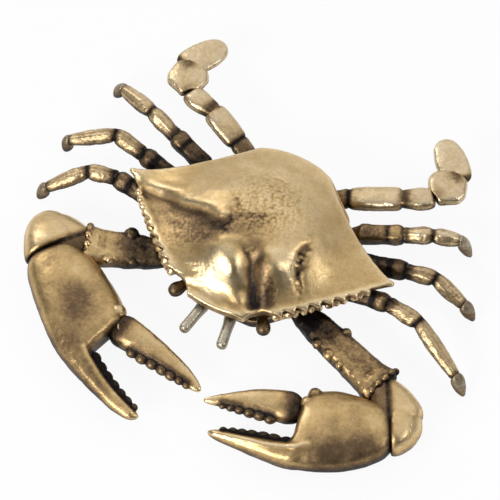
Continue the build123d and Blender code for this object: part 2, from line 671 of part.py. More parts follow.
# Swimming legs: thigh, carpus and plate soldered together, paddle
for swimmer in SWIMMERS:
    side = swimmer.side
    name = f"{SIDES[side]}_swimmer"
    heading = swimmer.thigh_yaw if side > 0 else 180 - swimmer.thigh_yaw
    hip = Plane(
        origin=(side * SWIMMER_HIP[0], SWIMMER_HIP[1], HIP_LEVEL), x_dir=direction(heading), z_dir=(0, 0, 1)
    )
    along = direction(heading, SWIMMER_RISE)
    sloped = Plane(origin=hip.origin, x_dir=along, z_dir=direction(heading, SWIMMER_RISE + 90))
    knee = Plane(origin=hip.origin + along * SWIMMER_THIGH, x_dir=hip.x_dir, z_dir=(0, 0, 1))
    carpus_turn, plate_turn, paddle_turn = (
        side * (yaw - swimmer.thigh_yaw)
        for yaw in (swimmer.carpus_yaw, swimmer.plate_yaw, swimmer.paddle_yaw)
    )
    seam_turn = (carpus_turn + plate_turn) / 2
    seam = Vector(cos(radians(carpus_turn)), sin(radians(carpus_turn))) * SWIMMER_CARPUS
    reach = Vector(cos(radians(plate_turn)), sin(radians(plate_turn)))
    tip = seam + reach * PLATE_LENGTH
    paddle_hinge = Plane(
        origin=knee.from_local_coords((tip.X, tip.Y, 0)),
        x_dir=direction(heading + plate_turn),
        z_dir=(0, 0, 1),
    )
    hinges[f"{name}_hip"], hinges[f"{name}_knee"], hinges[f"{name}_paddle"] = hip, knee, paddle_hinge

    with BuildPart() as thigh:
        limb(
            sloped,
            (
                (0, 0, 0, SWIMMER_HALF_HEIGHT * 0.8, SWIMMER_HALF_WIDTH * 0.8),
                (SWIMMER_THIGH * 0.5, 0, 0, SWIMMER_HALF_HEIGHT, SWIMMER_HALF_WIDTH),
                (SWIMMER_THIGH * 0.8, 0, 0, SWIMMER_HALF_HEIGHT, SWIMMER_HALF_WIDTH),
                (SWIMMER_THIGH, 0, 0, SWIMMER_KNEE.width / 2 * 0.75, SWIMMER_KNEE.radius * 0.78),
            ),
        )
        hip_eye(hip)
        fork(knee, SWIMMER_KNEE, -1)
    keep(thigh, f"{name}_thigh")

    with BuildPart() as knee_pin:
        hinge_pin(knee, SWIMMER_KNEE, -1)
    keep(knee_pin, f"{name}_knee_pin")

    with BuildPart() as carpus:
        limb(
            knee,
            (
                (0, 0, carpus_turn, SWIMMER_HALF_HEIGHT * 0.85, SWIMMER_KNEE.radius * 0.8),
                (
                    seam.X * 0.6,
                    seam.Y * 0.6,
                    carpus_turn,
                    SWIMMER_HALF_HEIGHT * 0.95,
                    SWIMMER_HALF_WIDTH * 0.95,
                ),
                (seam.X, seam.Y, seam_turn, PLATE_HALF_HEIGHT * 0.9, SWIMMER_HALF_WIDTH * 0.85),
            ),
        )
        tongue(knee, SWIMMER_KNEE)
    keep(carpus, f"{name}_carpus")

    with BuildPart() as plate:
        limb(
            knee,
            (
                (seam.X, seam.Y, seam_turn, PLATE_HALF_HEIGHT * 0.9, SWIMMER_HALF_WIDTH * 0.85),
                (
                    seam.X + reach.X * PLATE_LENGTH * 0.4,
                    seam.Y + reach.Y * PLATE_LENGTH * 0.4,
                    plate_turn,
                    PLATE_HALF_HEIGHT,
                    PLATE_HALF_WIDTH,
                ),
                (
                    seam.X + reach.X * PLATE_LENGTH * 0.68,
                    seam.Y + reach.Y * PLATE_LENGTH * 0.68,
                    plate_turn,
                    PLATE_HALF_HEIGHT,
                    PLATE_HALF_WIDTH * 0.8,
                ),
                (tip.X, tip.Y, plate_turn, PADDLE_HINGE.width / 2 * 0.75, PADDLE_HINGE.radius * 0.78),
            ),
        )
        fork(paddle_hinge, PADDLE_HINGE, -1)
    keep(plate, f"{name}_plate")

    with BuildPart() as paddle_pin:
        hinge_pin(paddle_hinge, PADDLE_HINGE, -1)
    keep(paddle_pin, f"{name}_paddle_pin")

    turn = paddle_turn - plate_turn
    blade = Vector(cos(radians(turn)), sin(radians(turn))) * PADDLE_LENGTH
    with BuildPart() as paddle:
        limb(
            paddle_hinge,
            [
                (blade.X * at, blade.Y * at, turn, PADDLE_HALF_HEIGHT * high, PADDLE_HALF_WIDTH * wide)
                for at, high, wide in (
                    (0.0, 0.85, 0.42),
                    (0.3, 1.0, 0.6),
                    (0.6, 1.0, 1.0),
                    (0.85, 0.85, 0.75),
                    (1.0, 0.35, 0.25),
                )
            ],
        )
        tongue(paddle_hinge, PADDLE_HINGE)
    keep(paddle, f"{name}_paddle")

# Claws: arm, elbow piece, palm with the fixed finger, movable finger
for claw in CLAWS:
    side = claw.side
    heading = -claw.arm_yaw if side > 0 else 180 + claw.arm_yaw
    shoulder = Plane(
        origin=(side * SHOULDER[0], SHOULDER[1], HIP_LEVEL), x_dir=direction(heading), z_dir=(0, 0, 1)
    )
    carpus_heading = heading - side * claw.elbow_bend
    elbow = Plane(
        origin=shoulder.from_local_coords((claw.arm_length, 0, 0)),
        x_dir=direction(carpus_heading),
        z_dir=(0, 0, 1),
    )
    corner_turn = -side * claw.carpus_bend
    corner = Vector(claw.carpus_in, 0)
    out = Vector(cos(radians(corner_turn)), sin(radians(corner_turn)))
    wrist_at = corner + out * claw.carpus_out
    palm_heading = carpus_heading + corner_turn - side * claw.palm_bend
    wrist = Plane(
        origin=elbow.from_local_coords((wrist_at.X, wrist_at.Y, 0)),
        x_dir=direction(palm_heading),
        z_dir=(0, 0, 1),
    )
    inner = -side
    finger_heading = palm_heading + inner * claw.finger_opening
    finger = Plane(
        origin=wrist.from_local_coords((claw.palm_length, inner * claw.finger_offset, 0)),
        x_dir=direction(finger_heading),
        z_dir=(0, 0, 1),
    )
    for joint, plane in (("shoulder", shoulder), ("elbow", elbow), ("wrist", wrist), ("finger", finger)):
        hinges[f"{claw.name}_{joint}"] = plane

    half = claw.arm_half_width
    with BuildPart() as arm:
        limb(
            shoulder,
            (
                (0, 0, 0, HIP_EYE_THICKNESS / 2, HIP_EYE_RADIUS * 0.95),
                (claw.arm_length * 0.35, 0, 0, half * 0.8, half * 0.95),
                (claw.arm_length * 0.75, 0, 0, half * 0.88, half),
                (claw.arm_length, 0, 0, claw.elbow.width / 2 * 0.75, claw.elbow.radius * 0.78),
            ),
        )
        hip_eye(shoulder)
        fork(elbow, claw.elbow, -1)
    keep(arm, f"{claw.name}_arm")

    with BuildPart() as elbow_pin:
        hinge_pin(elbow, claw.elbow, -1)
    keep(elbow_pin, f"{claw.name}_elbow_pin")

    cap_height = claw.palm_edges[0][-1] * 0.97
    corner_plane = elbow.offset(0)
    corner_plane.origin = elbow.from_local_coords((corner.X, corner.Y, 0))
    with BuildPart() as carpus:
        bead(corner_plane, claw.carpus_radius, cap_height)
        limb(
            elbow,
            (
                (0, 0, 0, claw.elbow.width / 2 * 0.85, claw.elbow.radius * 0.9),
                (corner.X, 0, 0, cap_height * 0.75, claw.carpus_radius * 0.78),
            ),
        )
        limb(
            elbow,
            (
                (corner.X, corner.Y, corner_turn, cap_height * 0.75, claw.carpus_radius * 0.78),
                (wrist_at.X, wrist_at.Y, corner_turn, claw.wrist.tongue * 0.8, claw.wrist.radius * 0.75),
            ),
        )
        tongue(elbow, claw.elbow)
        tongue(wrist, claw.wrist)
    keep(carpus, f"{claw.name}_carpus")

    with BuildPart() as wrist_pin:
        hinge_pin(wrist, claw.wrist, -1)
    keep(wrist_pin, f"{claw.name}_wrist_pin")

    with BuildPart() as palm:
        limb(
            wrist,
            [
                (0, 0, 0, claw.wrist.width / 2 * 0.78, claw.wrist.radius * 0.8),
                *(
                    (x, inner * (outside + inside) / 2, 0, high, (inside - outside) / 2)
                    for x, outside, inside, high in claw.palm_edges
                ),
            ],
        )
        fork(finger, claw.finger, -1)
        fork(wrist, claw.wrist, -1)
    keep(palm, f"{claw.name}_palm")

    with BuildPart() as finger_pin:
        hinge_pin(finger, claw.finger, -1)
    keep(finger_pin, f"{claw.name}_finger_pin")

    length, base = claw.finger_length, claw.finger.radius
    with BuildPart() as movable_finger:
        limb(
            finger,
            [
                (length * at, inner * base * bow, 0, base * high, base * wide)
                for at, bow, high, wide in (
                    (0.0, 0.0, 0.75, 0.8),
                    (0.25, 0.1, 0.78, 0.84),
                    (0.5, 0.2, 0.64, 0.7),
                    (0.8, 0.05, 0.4, 0.44),
                    (1.0, -0.3, 0.14, 0.16),
                )
            ],
        )
        tongue(finger, claw.finger)
    keep(movable_finger, f"{claw.name}_finger")
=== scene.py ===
"""Antiqued brass swimming crab with pinned limbs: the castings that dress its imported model.

Every casting is shaped in millimetres on the bench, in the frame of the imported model, and is brought to
metres when it is finished. The crab faces -Y and its left side is +X.
"""

from __future__ import annotations

import json
import logging
import math
from dataclasses import dataclass
from enum import Enum
from typing import Callable, NamedTuple, Sequence

import bpy
import numpy as np
from mathutils import Matrix, Vector

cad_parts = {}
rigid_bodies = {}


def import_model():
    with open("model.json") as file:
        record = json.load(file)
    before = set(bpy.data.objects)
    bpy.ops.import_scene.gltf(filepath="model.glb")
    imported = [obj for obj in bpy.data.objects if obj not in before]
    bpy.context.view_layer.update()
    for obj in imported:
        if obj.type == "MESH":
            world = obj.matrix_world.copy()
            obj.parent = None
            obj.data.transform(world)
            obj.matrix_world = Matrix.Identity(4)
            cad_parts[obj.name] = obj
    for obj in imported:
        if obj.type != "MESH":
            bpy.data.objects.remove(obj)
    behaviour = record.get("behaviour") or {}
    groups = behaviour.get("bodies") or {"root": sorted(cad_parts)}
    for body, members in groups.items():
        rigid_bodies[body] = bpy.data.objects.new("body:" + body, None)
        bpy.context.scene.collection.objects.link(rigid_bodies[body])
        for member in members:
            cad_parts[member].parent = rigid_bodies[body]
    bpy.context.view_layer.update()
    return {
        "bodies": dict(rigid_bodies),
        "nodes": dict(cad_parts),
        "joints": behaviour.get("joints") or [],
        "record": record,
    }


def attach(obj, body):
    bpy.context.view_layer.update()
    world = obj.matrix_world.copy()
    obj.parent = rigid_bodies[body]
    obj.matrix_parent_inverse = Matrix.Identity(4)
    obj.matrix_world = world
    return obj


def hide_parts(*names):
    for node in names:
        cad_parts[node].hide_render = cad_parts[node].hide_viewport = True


LOG = logging.getLogger("crab")
MM = 0.001
UP = Vector((0.0, 0.0, 1.0))
BODY = "thorax"
KEEL_HEIGHT, KEEL_EDGE = 0.3, 12
KEEL_UP, KEEL_ACROSS = 0.8, 0.6
FULL_POWER, BLOCK_POWER = 2.6, 3.4
FLUTE_DEPTH, FLUTE_EDGE = 0.24, 6
ROOT_RADIUS, ROOT_HALF, ROOT_BEVEL = 2.45, 1.25, 0.3
WELD = 0.0005
RING_GAIN = 1.6
RELAXED = 0.6
GRAIN_HASH = np.array((73856093, 19349663, 83492791))
GRAIN_WAVES, GRAIN_CYCLE, GRAIN_GAIN = (1.7, 2.9, 4.3), 9973, 4375.85
Field = Callable[[np.ndarray, np.ndarray], np.ndarray]
Triple = tuple[float, float, float]
Colour = Triple
Line = Sequence[Sequence[float]]
Rows = Sequence[Triple]
Spots = Sequence[tuple[float, float, float, float]]


class Side(Enum):
    """The crab's own sides, with the sign of X on each."""

    RIGHT = -1
    LEFT = 1

    @property
    def word(self) -> str:
        """Lower-case name, as the nodes spell it."""
        return self.name.lower()


class Section(Enum):
    """Cross-sections that a limb is drawn through."""

    OVAL = "oval"
    FULL = "full"
    BLOCK = "block"
    FLUTED = "fluted"
    KEEL_RIGHT = "keel to the right"
    KEEL_LEFT = "keel to the left"

    def reach(self, up: float, across: float) -> float:
        """How far the section stands out in a direction.

        Args:
            up: share of the direction along the hinge axis.
            across: share of the direction across the limb.

        Returns:
            The distance as a multiple of the plain oval's.
        """
        if self in (Section.KEEL_RIGHT, Section.KEEL_LEFT):
            hand = -1.0 if self is Section.KEEL_RIGHT else 1.0
            return 1.0 + KEEL_HEIGHT * max(KEEL_UP * up + KEEL_ACROSS * hand * across, 0.0) ** KEEL_EDGE
        if self is Section.OVAL:
            return 1.0
        power = FULL_POWER if self is Section.FULL else BLOCK_POWER
        square = (abs(up) ** power + abs(across) ** power) ** (-1 / power)
        flute = (2 * abs(up) * max(across, 0.0)) ** FLUTE_EDGE if self is Section.FLUTED else 0.0
        return square * (1.0 - FLUTE_DEPTH * flute)


class Station(NamedTuple):
    """One section of a limb, in the plane across its hinge axis, in millimetres and degrees."""

    x: float
    y: float
    heading: float
    high: float
    wide: float


class Skeleton:
    """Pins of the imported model, by the joint's name."""

    def __init__(self, joints: Sequence[dict]) -> None:
        """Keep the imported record's joints."""
        self.pins = {joint["name"]: joint for joint in joints}

    def at(self, name: str) -> Vector:
        """Middle of a pin, in millimetres."""
        return Vector(self.pins[name]["pos_m"]) / MM

    def axis(self, name: str) -> Vector:
        """Direction of a pin."""
        return Vector(self.pins[name]["axis"]).normalized()


def plane(origin: Vector, along: Vector, axis: Vector) -> Matrix:
    """Frame of a limb.

    Args:
        origin: its zero point.
        along: the way the limb runs, its x.
        axis: the hinge axis, its z.

    Returns:
        The frame as a matrix.
    """
    z = axis.normalized()
    x = (along - z * along.dot(z)).normalized()
    y = z.cross(x)
    return Matrix.Translation(origin) @ Matrix((x, y, z)).transposed().to_4x4()


def polar(length: float, turn: float) -> tuple[float, float]:
    """Place at a distance in a direction, given in degrees."""
    way = math.radians(turn)
    return length * math.cos(way), length * math.sin(way)


def ray(turn: float) -> Vector:
    """Level direction, from its angle in degrees."""
    return Vector((*polar(1.0, turn), 0.0))


def straight(steps: Rows, shift: float = 0.0) -> list[Station]:
    """Stations of a straight limb, from rows of distance, half height and half width."""
    return [Station(x, shift, 0.0, high, wide) for x, high, wide in steps]


def bent(steps: Rows, turn: float, length: float, start: Sequence[float] = (0.0, 0.0)) -> list[Station]:
    """Stations of a limb that runs off at an angle, from rows of share, half height and half width."""
    places = [polar(share * length, turn) for share, _, _ in steps]
    return [Station(start[0] + x, start[1] + y, turn, *row[1:]) for (x, y), row in zip(places, steps)]


def spread(points: np.ndarray, middle: Sequence[float], reach: float) -> np.ndarray:
    """Soft round spot.

    Args:
        points: places, one a row.
        middle: the spot's middle, in two or three coordinates.
        reach: distance at which it has fallen to a third.

    Returns:
        Weight of each place, from 0 to 1.
    """
    away = points[:, : len(middle)] - np.array(middle)
    return np.exp(-np.sum(away * away, axis=1) / reach**2)


def spotted(points: np.ndarray, spots: Spots) -> np.ndarray:
    """Sum of soft round spots, from rows of x, y, reach and weight."""
    return sum(weight * spread(points, (x, y), reach) for x, y, reach, weight in spots)


def beside(points: np.ndarray, path: Line) -> tuple[np.ndarray, np.ndarray, np.ndarray]:
    """Distance from a line drawn on a casting.

    Args:
        points: places, one a row.
        path: corners of the line, in X and Y.

    Returns:
        Distance to the line, which side of it, and the share along it, for each place.
    """
    best = np.full(len(points), 1e9)
    hand = np.zeros(len(points))
    share = np.zeros(len(points))
    corners = np.array(path, float)[:, :2]
    for index, (start, end) in enumerate(zip(corners, corners[1:])):
        way = end - start
        rel = points[:, :2] - start
        t = np.clip(rel @ way / (way @ way), 0.0, 1.0)
        off = rel - t[:, None] * way
        away = np.hypot(off[:, 0], off[:, 1])
        closer = away < best
        best = np.where(closer, away, best)
        hand = np.where(closer, np.sign(way[0] * rel[:, 1] - way[1] * rel[:, 0]), hand)
        share = np.where(closer, (index + t) / (len(corners) - 1), share)
    return best, hand, share


def crease(points: np.ndarray, path: Line, width: float, power: int = 2) -> np.ndarray:
    """Weight that is 1 on a line and falls off beside it, more squarely with a higher power."""
    return np.exp(-((beside(points, path)[0] / width) ** power))


def inside(points: np.ndarray, frame: Matrix) -> np.ndarray:
    """Places in the coordinates of a limb's frame, one a row."""
    turned = np.array(frame.inverted())
    return points @ turned[:3, :3].T + turned[:3, 3]


def grains(points: np.ndarray, pitch: float) -> np.ndarray:
    """Scattered round grains in space.

    Args:
        points: places, one a row.
        pitch: mean distance between grains.

    Returns:
        Distance from each place to the nearest grain's middle, as a share of the pitch.
    """
    scaled = points / pitch
    cell = np.floor(scaled).astype(np.int64)
    best = np.full(len(points), 9.0)
    for step in np.ndindex(3, 3, 3):
        box = cell + np.array(step) - 1
        seed = box @ GRAIN_HASH % GRAIN_CYCLE
        offset = np.stack([(np.sin(seed * wave) * GRAIN_GAIN) % 1.0 for wave in GRAIN_WAVES], axis=1)
        away = scaled - box - offset
        best = np.minimum(best, np.sqrt(np.sum(away * away, axis=1)))
    return best


def band(points: np.ndarray, at: Vector, way: Vector, width: float, reach: float = 4.5) -> np.ndarray:
    """Weight of a ring round a limb.

    Args:
        points: places, one a row.
        at: middle of the ring.
        way: direction of the limb there.
        width: half width of the ring.
        reach: how far from its middle the ring counts.

    Returns:
        Weight of each place, from 0 to 1.
    """
    along = (points - np.array(at)) @ np.array(way.normalized())
    return np.exp(-((along / width) ** 2)) * np.clip(RING_GAIN * spread(points, at, reach), 0.0, 1.0)


class Bench:
    """Hand tools. Each works on one piece, in millimetres."""

    @staticmethod
    def clear() -> None:
        """Leave edit mode and let go of everything."""
        if bpy.context.object and bpy.context.object.mode != "OBJECT":
            bpy.ops.object.mode_set(mode="OBJECT")
        bpy.ops.object.select_all(action="DESELECT")

    @staticmethod
    def take(piece: bpy.types.Object) -> None:
        """Hold one piece, and nothing else.

        Args:
            piece: the piece.
        """
        Bench.clear()
        piece.select_set(True)
        bpy.context.view_layer.objects.active = piece

    @staticmethod
    def edit() -> None:
        """Open the piece in hand, with all of it picked."""
        bpy.ops.object.mode_set(mode="EDIT")
        bpy.ops.mesh.select_all(action="SELECT")

    @staticmethod
    def finish_with(piece: bpy.types.Object, kind: str, **settings: object) -> None:
        """Put a modifier on a piece and apply it.

        Args:
            piece: the piece.
            kind: Blender's name for the modifier.
            settings: its values.
        """
        Bench.take(piece)
        modifier = piece.modifiers.new(kind.lower(), kind)
        for name, value in settings.items():
            setattr(modifier, name, value)
        bpy.ops.object.modifier_apply(modifier=modifier.name)

    @staticmethod
    def place(piece: bpy.types.Object, frame: Matrix) -> None:
        """Move a piece from its drawing to a frame, with its place in its mesh.

        Args:
            piece: the piece.
            frame: where it goes.
        """
        Bench.take(piece)
        piece.matrix_world = frame
        bpy.ops.object.transform_apply(location=True, rotation=True, scale=True)

    @staticmethod
    def copy_node(frame: dict, node: str) -> bpy.types.Object:
        """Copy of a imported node, in millimetres, with its loose triangles joined up.

        Args:
            frame: the loaded frame.
            node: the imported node's name.

        Returns:
            The copy.
        """
        piece = bpy.data.objects.new(f"{node}_casting", frame["nodes"][node].data.copy())
        piece.data.materials.clear()
        bpy.context.scene.collection.objects.link(piece)
        Bench.place(piece, Matrix.Scale(1 / MM, 4))
        Bench.edit()
        bpy.ops.mesh.remove_doubles(threshold=WELD)
        bpy.ops.object.mode_set(mode="OBJECT")
        return piece

    @staticmethod
    def limb(
        name: str,
        frame: Matrix,
        stations: Sequence[Station],
        section: Section = Section.OVAL,
        sides: int = 16,
    ) -> bpy.types.Object:
        """Casting drawn out of a disc, section by section.

        Args:
            name: the piece's name.
            frame: the limb's frame.
            stations: its sections, from root to tip.
            section: the shape of the disc.
            sides: corners of the disc.

        Returns:
            The piece, smoothed.
        """
        Bench.clear()
        bpy.ops.mesh.primitive_circle_add(vertices=sides, radius=1.0, fill_type="NGON")
        piece = bpy.context.object
        piece.name = name
        for corner in piece.data.vertices:
            corner.co *= section.reach(corner.co.x, corner.co.y)
        Bench.edit()
        last = Station(0.0, 0.0, 0.0, 1.0, 1.0)
        for index, station in enumerate(stations):
            tilt = {"orient_axis": "X", "center_override": (0.0, -last.y, last.x)}
            grown = (station.high / last.high, station.wide / last.wide, 1.0)
            if index:
                bpy.ops.mesh.extrude_region_move()
                bpy.ops.transform.rotate(value=math.radians(last.heading), **tilt)
            bpy.ops.transform.resize(value=grown, center_override=tilt["center_override"])
            bpy.ops.transform.rotate(value=-math.radians(station.heading), **tilt)
            bpy.ops.transform.translate(value=(0.0, last.y - station.y, station.x - last.x))
            last = station
        bpy.ops.mesh.select_all(action="SELECT")
        bpy.ops.mesh.normals_make_consistent(inside=False)
        bpy.ops.object.mode_set(mode="OBJECT")
        turned = Matrix(((0, 0, 1, 0), (0, -1, 0, 0), (1, 0, 0, 0), (0, 0, 0, 1)))
        Bench.place(piece, frame @ turned)
        Bench.finish_with(piece, "SUBSURF", levels=2, render_levels=2)
        return piece

    @staticmethod
    def knob(
        at: Vector, radius: float, along: Vector | None = None, stretch: float = 1.0
    ) -> bpy.types.Object:
        """Round or long bead, to be fused to a casting.

        Args:
            at: its middle.
            radius: its radius.
            along: the way it is drawn out.
            stretch: how much longer it is that way.

        Returns:
            The bead.
        """
        Bench.clear()
        bpy.ops.mesh.primitive_ico_sphere_add(subdivisions=2, radius=radius)
        bead = bpy.context.object
        Bench.edit()
        bpy.ops.transform.resize(value=(1.0, 1.0, stretch), center_override=(0.0, 0.0, 0.0))
        bpy.ops.object.mode_set(mode="OBJECT")
        turn = UP.rotation_difference(along).to_matrix().to_4x4() if along else Matrix.Identity(4)
        Bench.place(bead, Matrix.Translation(at) @ turn)
        return bead

    @staticmethod
    def puck(at: Vector) -> bpy.types.Object:
        """Round eye of a limb root, lying flat on its hip pin, with broken edges.

        Args:
            at: its middle.

        Returns:
            The eye.
        """
        Bench.clear()
        bpy.ops.mesh.primitive_cylinder_add(
            vertices=32, radius=ROOT_RADIUS, depth=2 * ROOT_HALF, location=at
        )
        eye = bpy.context.object
        Bench.edit()
        bpy.ops.mesh.bevel(offset=ROOT_BEVEL, segments=2, affect="EDGES")
        bpy.ops.object.mode_set(mode="OBJECT")
        Bench.place(eye, eye.matrix_world.copy())
        return eye

    @staticmethod
    def skin(piece: bpy.types.Object) -> tuple[np.ndarray, np.ndarray]:
        """Places and outward directions of a piece's vertices.

        Args:
            piece: the piece.

        Returns:
            Both, one vertex a row.
        """
        count = len(piece.data.vertices)
        points = np.empty(count * 3, np.float32)
        normals = np.empty(count * 3, np.float32)
        piece.data.vertices.foreach_get("co", points)
        piece.data.vertex_normals.foreach_get("vector", normals)
        return points.reshape(-1, 3).astype(float), normals.reshape(-1, 3).astype(float)

    @staticmethod
    def hollows(piece: bpy.types.Object, passes: int) -> np.ndarray:
        """Depth of the hollows in a piece's skin.

        Args:
            piece: the piece.
            passes: how wide the hollows are that count.

        Returns:
            Millimetres below the smoothed skin at each vertex, negative on high places.
        """
        points, normals = Bench.skin(piece)
        edges = np.empty(len(piece.data.edges) * 2, np.int32)
        piece.data.edges.foreach_get("vertices", edges)
        one, two = edges.reshape(-1, 2).T
        count = np.bincount(one, minlength=len(points)) + np.bincount(two, minlength=len(points))
        flat = points.copy()
        for _ in range(passes):
            total = np.zeros_like(flat)
            for axis in range(3):
                total[:, axis] = np.bincount(one, flat[two, axis], len(flat))
                total[:, axis] += np.bincount(two, flat[one, axis], len(flat))
            flat = (1.0 - RELAXED) * flat + RELAXED * total / np.maximum(count, 1)[:, None]
        return np.sum((flat - points) * normals, axis=1)


class Wiring:
    """Shader nodes of one material or world, and the links between them."""

    def __init__(self, owner: bpy.types.Material | bpy.types.World) -> None:
        """Start from the owner's own nodes."""
        owner.use_nodes = True
        self.nodes, self.links = owner.node_tree.nodes, owner.node_tree.links

    def feed(self, node: bpy.types.Node, inputs: dict[str | int, object]) -> None:
        """Give a node's sockets values or links.

        Args:
            node: the node.
            inputs: a value or another node's socket for each of its sockets.
        """
        for name, value in inputs.items():
            if isinstance(value, bpy.types.NodeSocket):
                self.links.new(value, node.inputs[name])
            else:
                node.inputs[name].default_value = value

    def add(self, kind: str, inputs: dict[str | int, object], **settings: object) -> bpy.types.Node:
        """Put in a node.

        Args:
            kind: Blender's name for it.
            inputs: what its sockets get.
            settings: its other values.

        Returns:
            The node.
        """
        node = self.nodes.new(kind)
        for name, value in settings.items():
            setattr(node, name, value)
        self.feed(node, inputs)
        return node

    def reckon(self, operation: str, *values: object) -> bpy.types.NodeSocket:
        """Result of one sum, product or the like."""
        return self.add("ShaderNodeMath", dict(enumerate(values)), operation=operation).outputs["Value"]

    def noise(
        self,
        scale: float,
        detail: float,
        height: float,
        middle: float = 0.0,
        stretch: Triple = (1.0, 1.0, 1.0),
    ) -> bpy.types.NodeSocket:
        """Noise in a casting.

        Args:
            scale: its fineness.
            detail: its octaves.
            height: from its lowest to its highest.
            middle: its mean.
            stretch: its fineness along X, Y and Z.

        Returns:
            The noise, as a socket.
        """
        place = self.add("ShaderNodeTexCoord", {}).outputs["Object"]
        mapping = self.add("ShaderNodeMapping", {"Vector": place, "Scale": stretch})
        inputs = {"Vector": mapping.outputs["Vector"], "Scale": scale, "Detail": detail, "Roughness": 0.6}
        grain = self.add("ShaderNodeTexNoise", inputs).outputs["Fac"]
        return self.reckon("MULTIPLY_ADD", grain, height, middle - height / 2)

    def ramp(
        self, factor: bpy.types.NodeSocket, stops: Sequence[tuple[float, Colour]]
    ) -> bpy.types.NodeSocket:
        """Colour that follows a factor.

        Args:
            factor: the factor.
            stops: positions and their colours.

        Returns:
            The colour, as a socket.
        """
        node = self.add("ShaderNodeValToRGB", {"Fac": factor})
        elements = node.color_ramp.elements
        for position, _ in stops[1:-1]:
            elements.new(position)
        for element, (position, colour) in zip(elements, stops):
            element.position = position
            element.color = (*colour, 1.0)
        return node.outputs["Color"]


@dataclass(frozen=True)
class AgedBrass:
    """Brass that was darkened all over and rubbed bright where a hand reaches it."""

    name: str
    slot: str
    bright: Colour = (0.84, 0.65, 0.38)
    gold: Colour = (0.61, 0.42, 0.19)
    brown: Colour = (0.20, 0.13, 0.07)
    soot: Colour = (0.020, 0.017, 0.016)
    rough: float = 0.30
    dull: float = 0.24
    tarnish: float = 0.0

    def material(self) -> bpy.types.Material:
        """Material whose colour and gloss follow the patina left in the casting's hollows and the painted
        shade and highlights stored with it.

        Returns:
            The material, made once for each finish.
        """
        made = bpy.data.materials.get(self.name)
        if made:
            return made
        made = bpy.data.materials.new(self.name)
        wiring = Wiring(made)
        patina = wiring.add("ShaderNodeAttribute", {}, attribute_name="patina").outputs["Fac"]
        cloud = wiring.noise(scale=260.0, detail=3.0, height=0.34)
        speck = wiring.noise(scale=2100.0, detail=2.0, height=0.26, middle=self.tarnish)
        haze = wiring.noise(scale=700.0, detail=4.0, height=0.20, middle=self.rough)
        # the attribute holds patina together with painted shade and painted highlights
        age_and_shade = wiring.reckon("ADD", wiring.reckon("ADD", patina, cloud), speck)
        gloss = wiring.reckon("MULTIPLY_ADD", age_and_shade, self.dull, haze)
        held = wiring.add("ShaderNodeClamp", {"Value": gloss, "Min": 0.16, "Max": 0.75})
        pits = wiring.noise(scale=2600.0, detail=4.0, height=1.0)
        streaks = wiring.noise(scale=900.0, detail=3.0, height=0.6, stretch=(1.0, 6.0, 6.0))
        rises = {"Height": wiring.reckon("ADD", pits, streaks), "Strength": 0.35, "Distance": 0.00012}
        # the brown and black stops show patina and painted shade alike
        stops = ((0.0, self.bright), (0.28, self.gold), (0.58, self.brown), (0.92, self.soot))
        finish = {
            "Metallic": 1.0,
            "Base Color": wiring.ramp(age_and_shade, stops),
            "Roughness": held.outputs["Result"],
            "Normal": wiring.add("ShaderNodeBump", rises).outputs["Normal"],
        }
        wiring.feed(wiring.nodes["Principled BSDF"], finish)
        return made


RUBBED = AgedBrass("rubbed_brass", "brass")
SHADED = AgedBrass("shaded_brass", "brass", tarnish=0.06)
WORN = AgedBrass("worn_brass", "brass", bright=(0.86, 0.72, 0.51), gold=(0.64, 0.48, 0.27))
PALE = AgedBrass("pale_tips", "tips", bright=(0.60, 0.55, 0.44), gold=(0.42, 0.37, 0.27), rough=0.36)
DARK = AgedBrass("dark_patina", "underside", tarnish=0.34, rough=0.4)
DULL = AgedBrass("dull_pins", "pins", tarnish=0.28, rough=0.38)


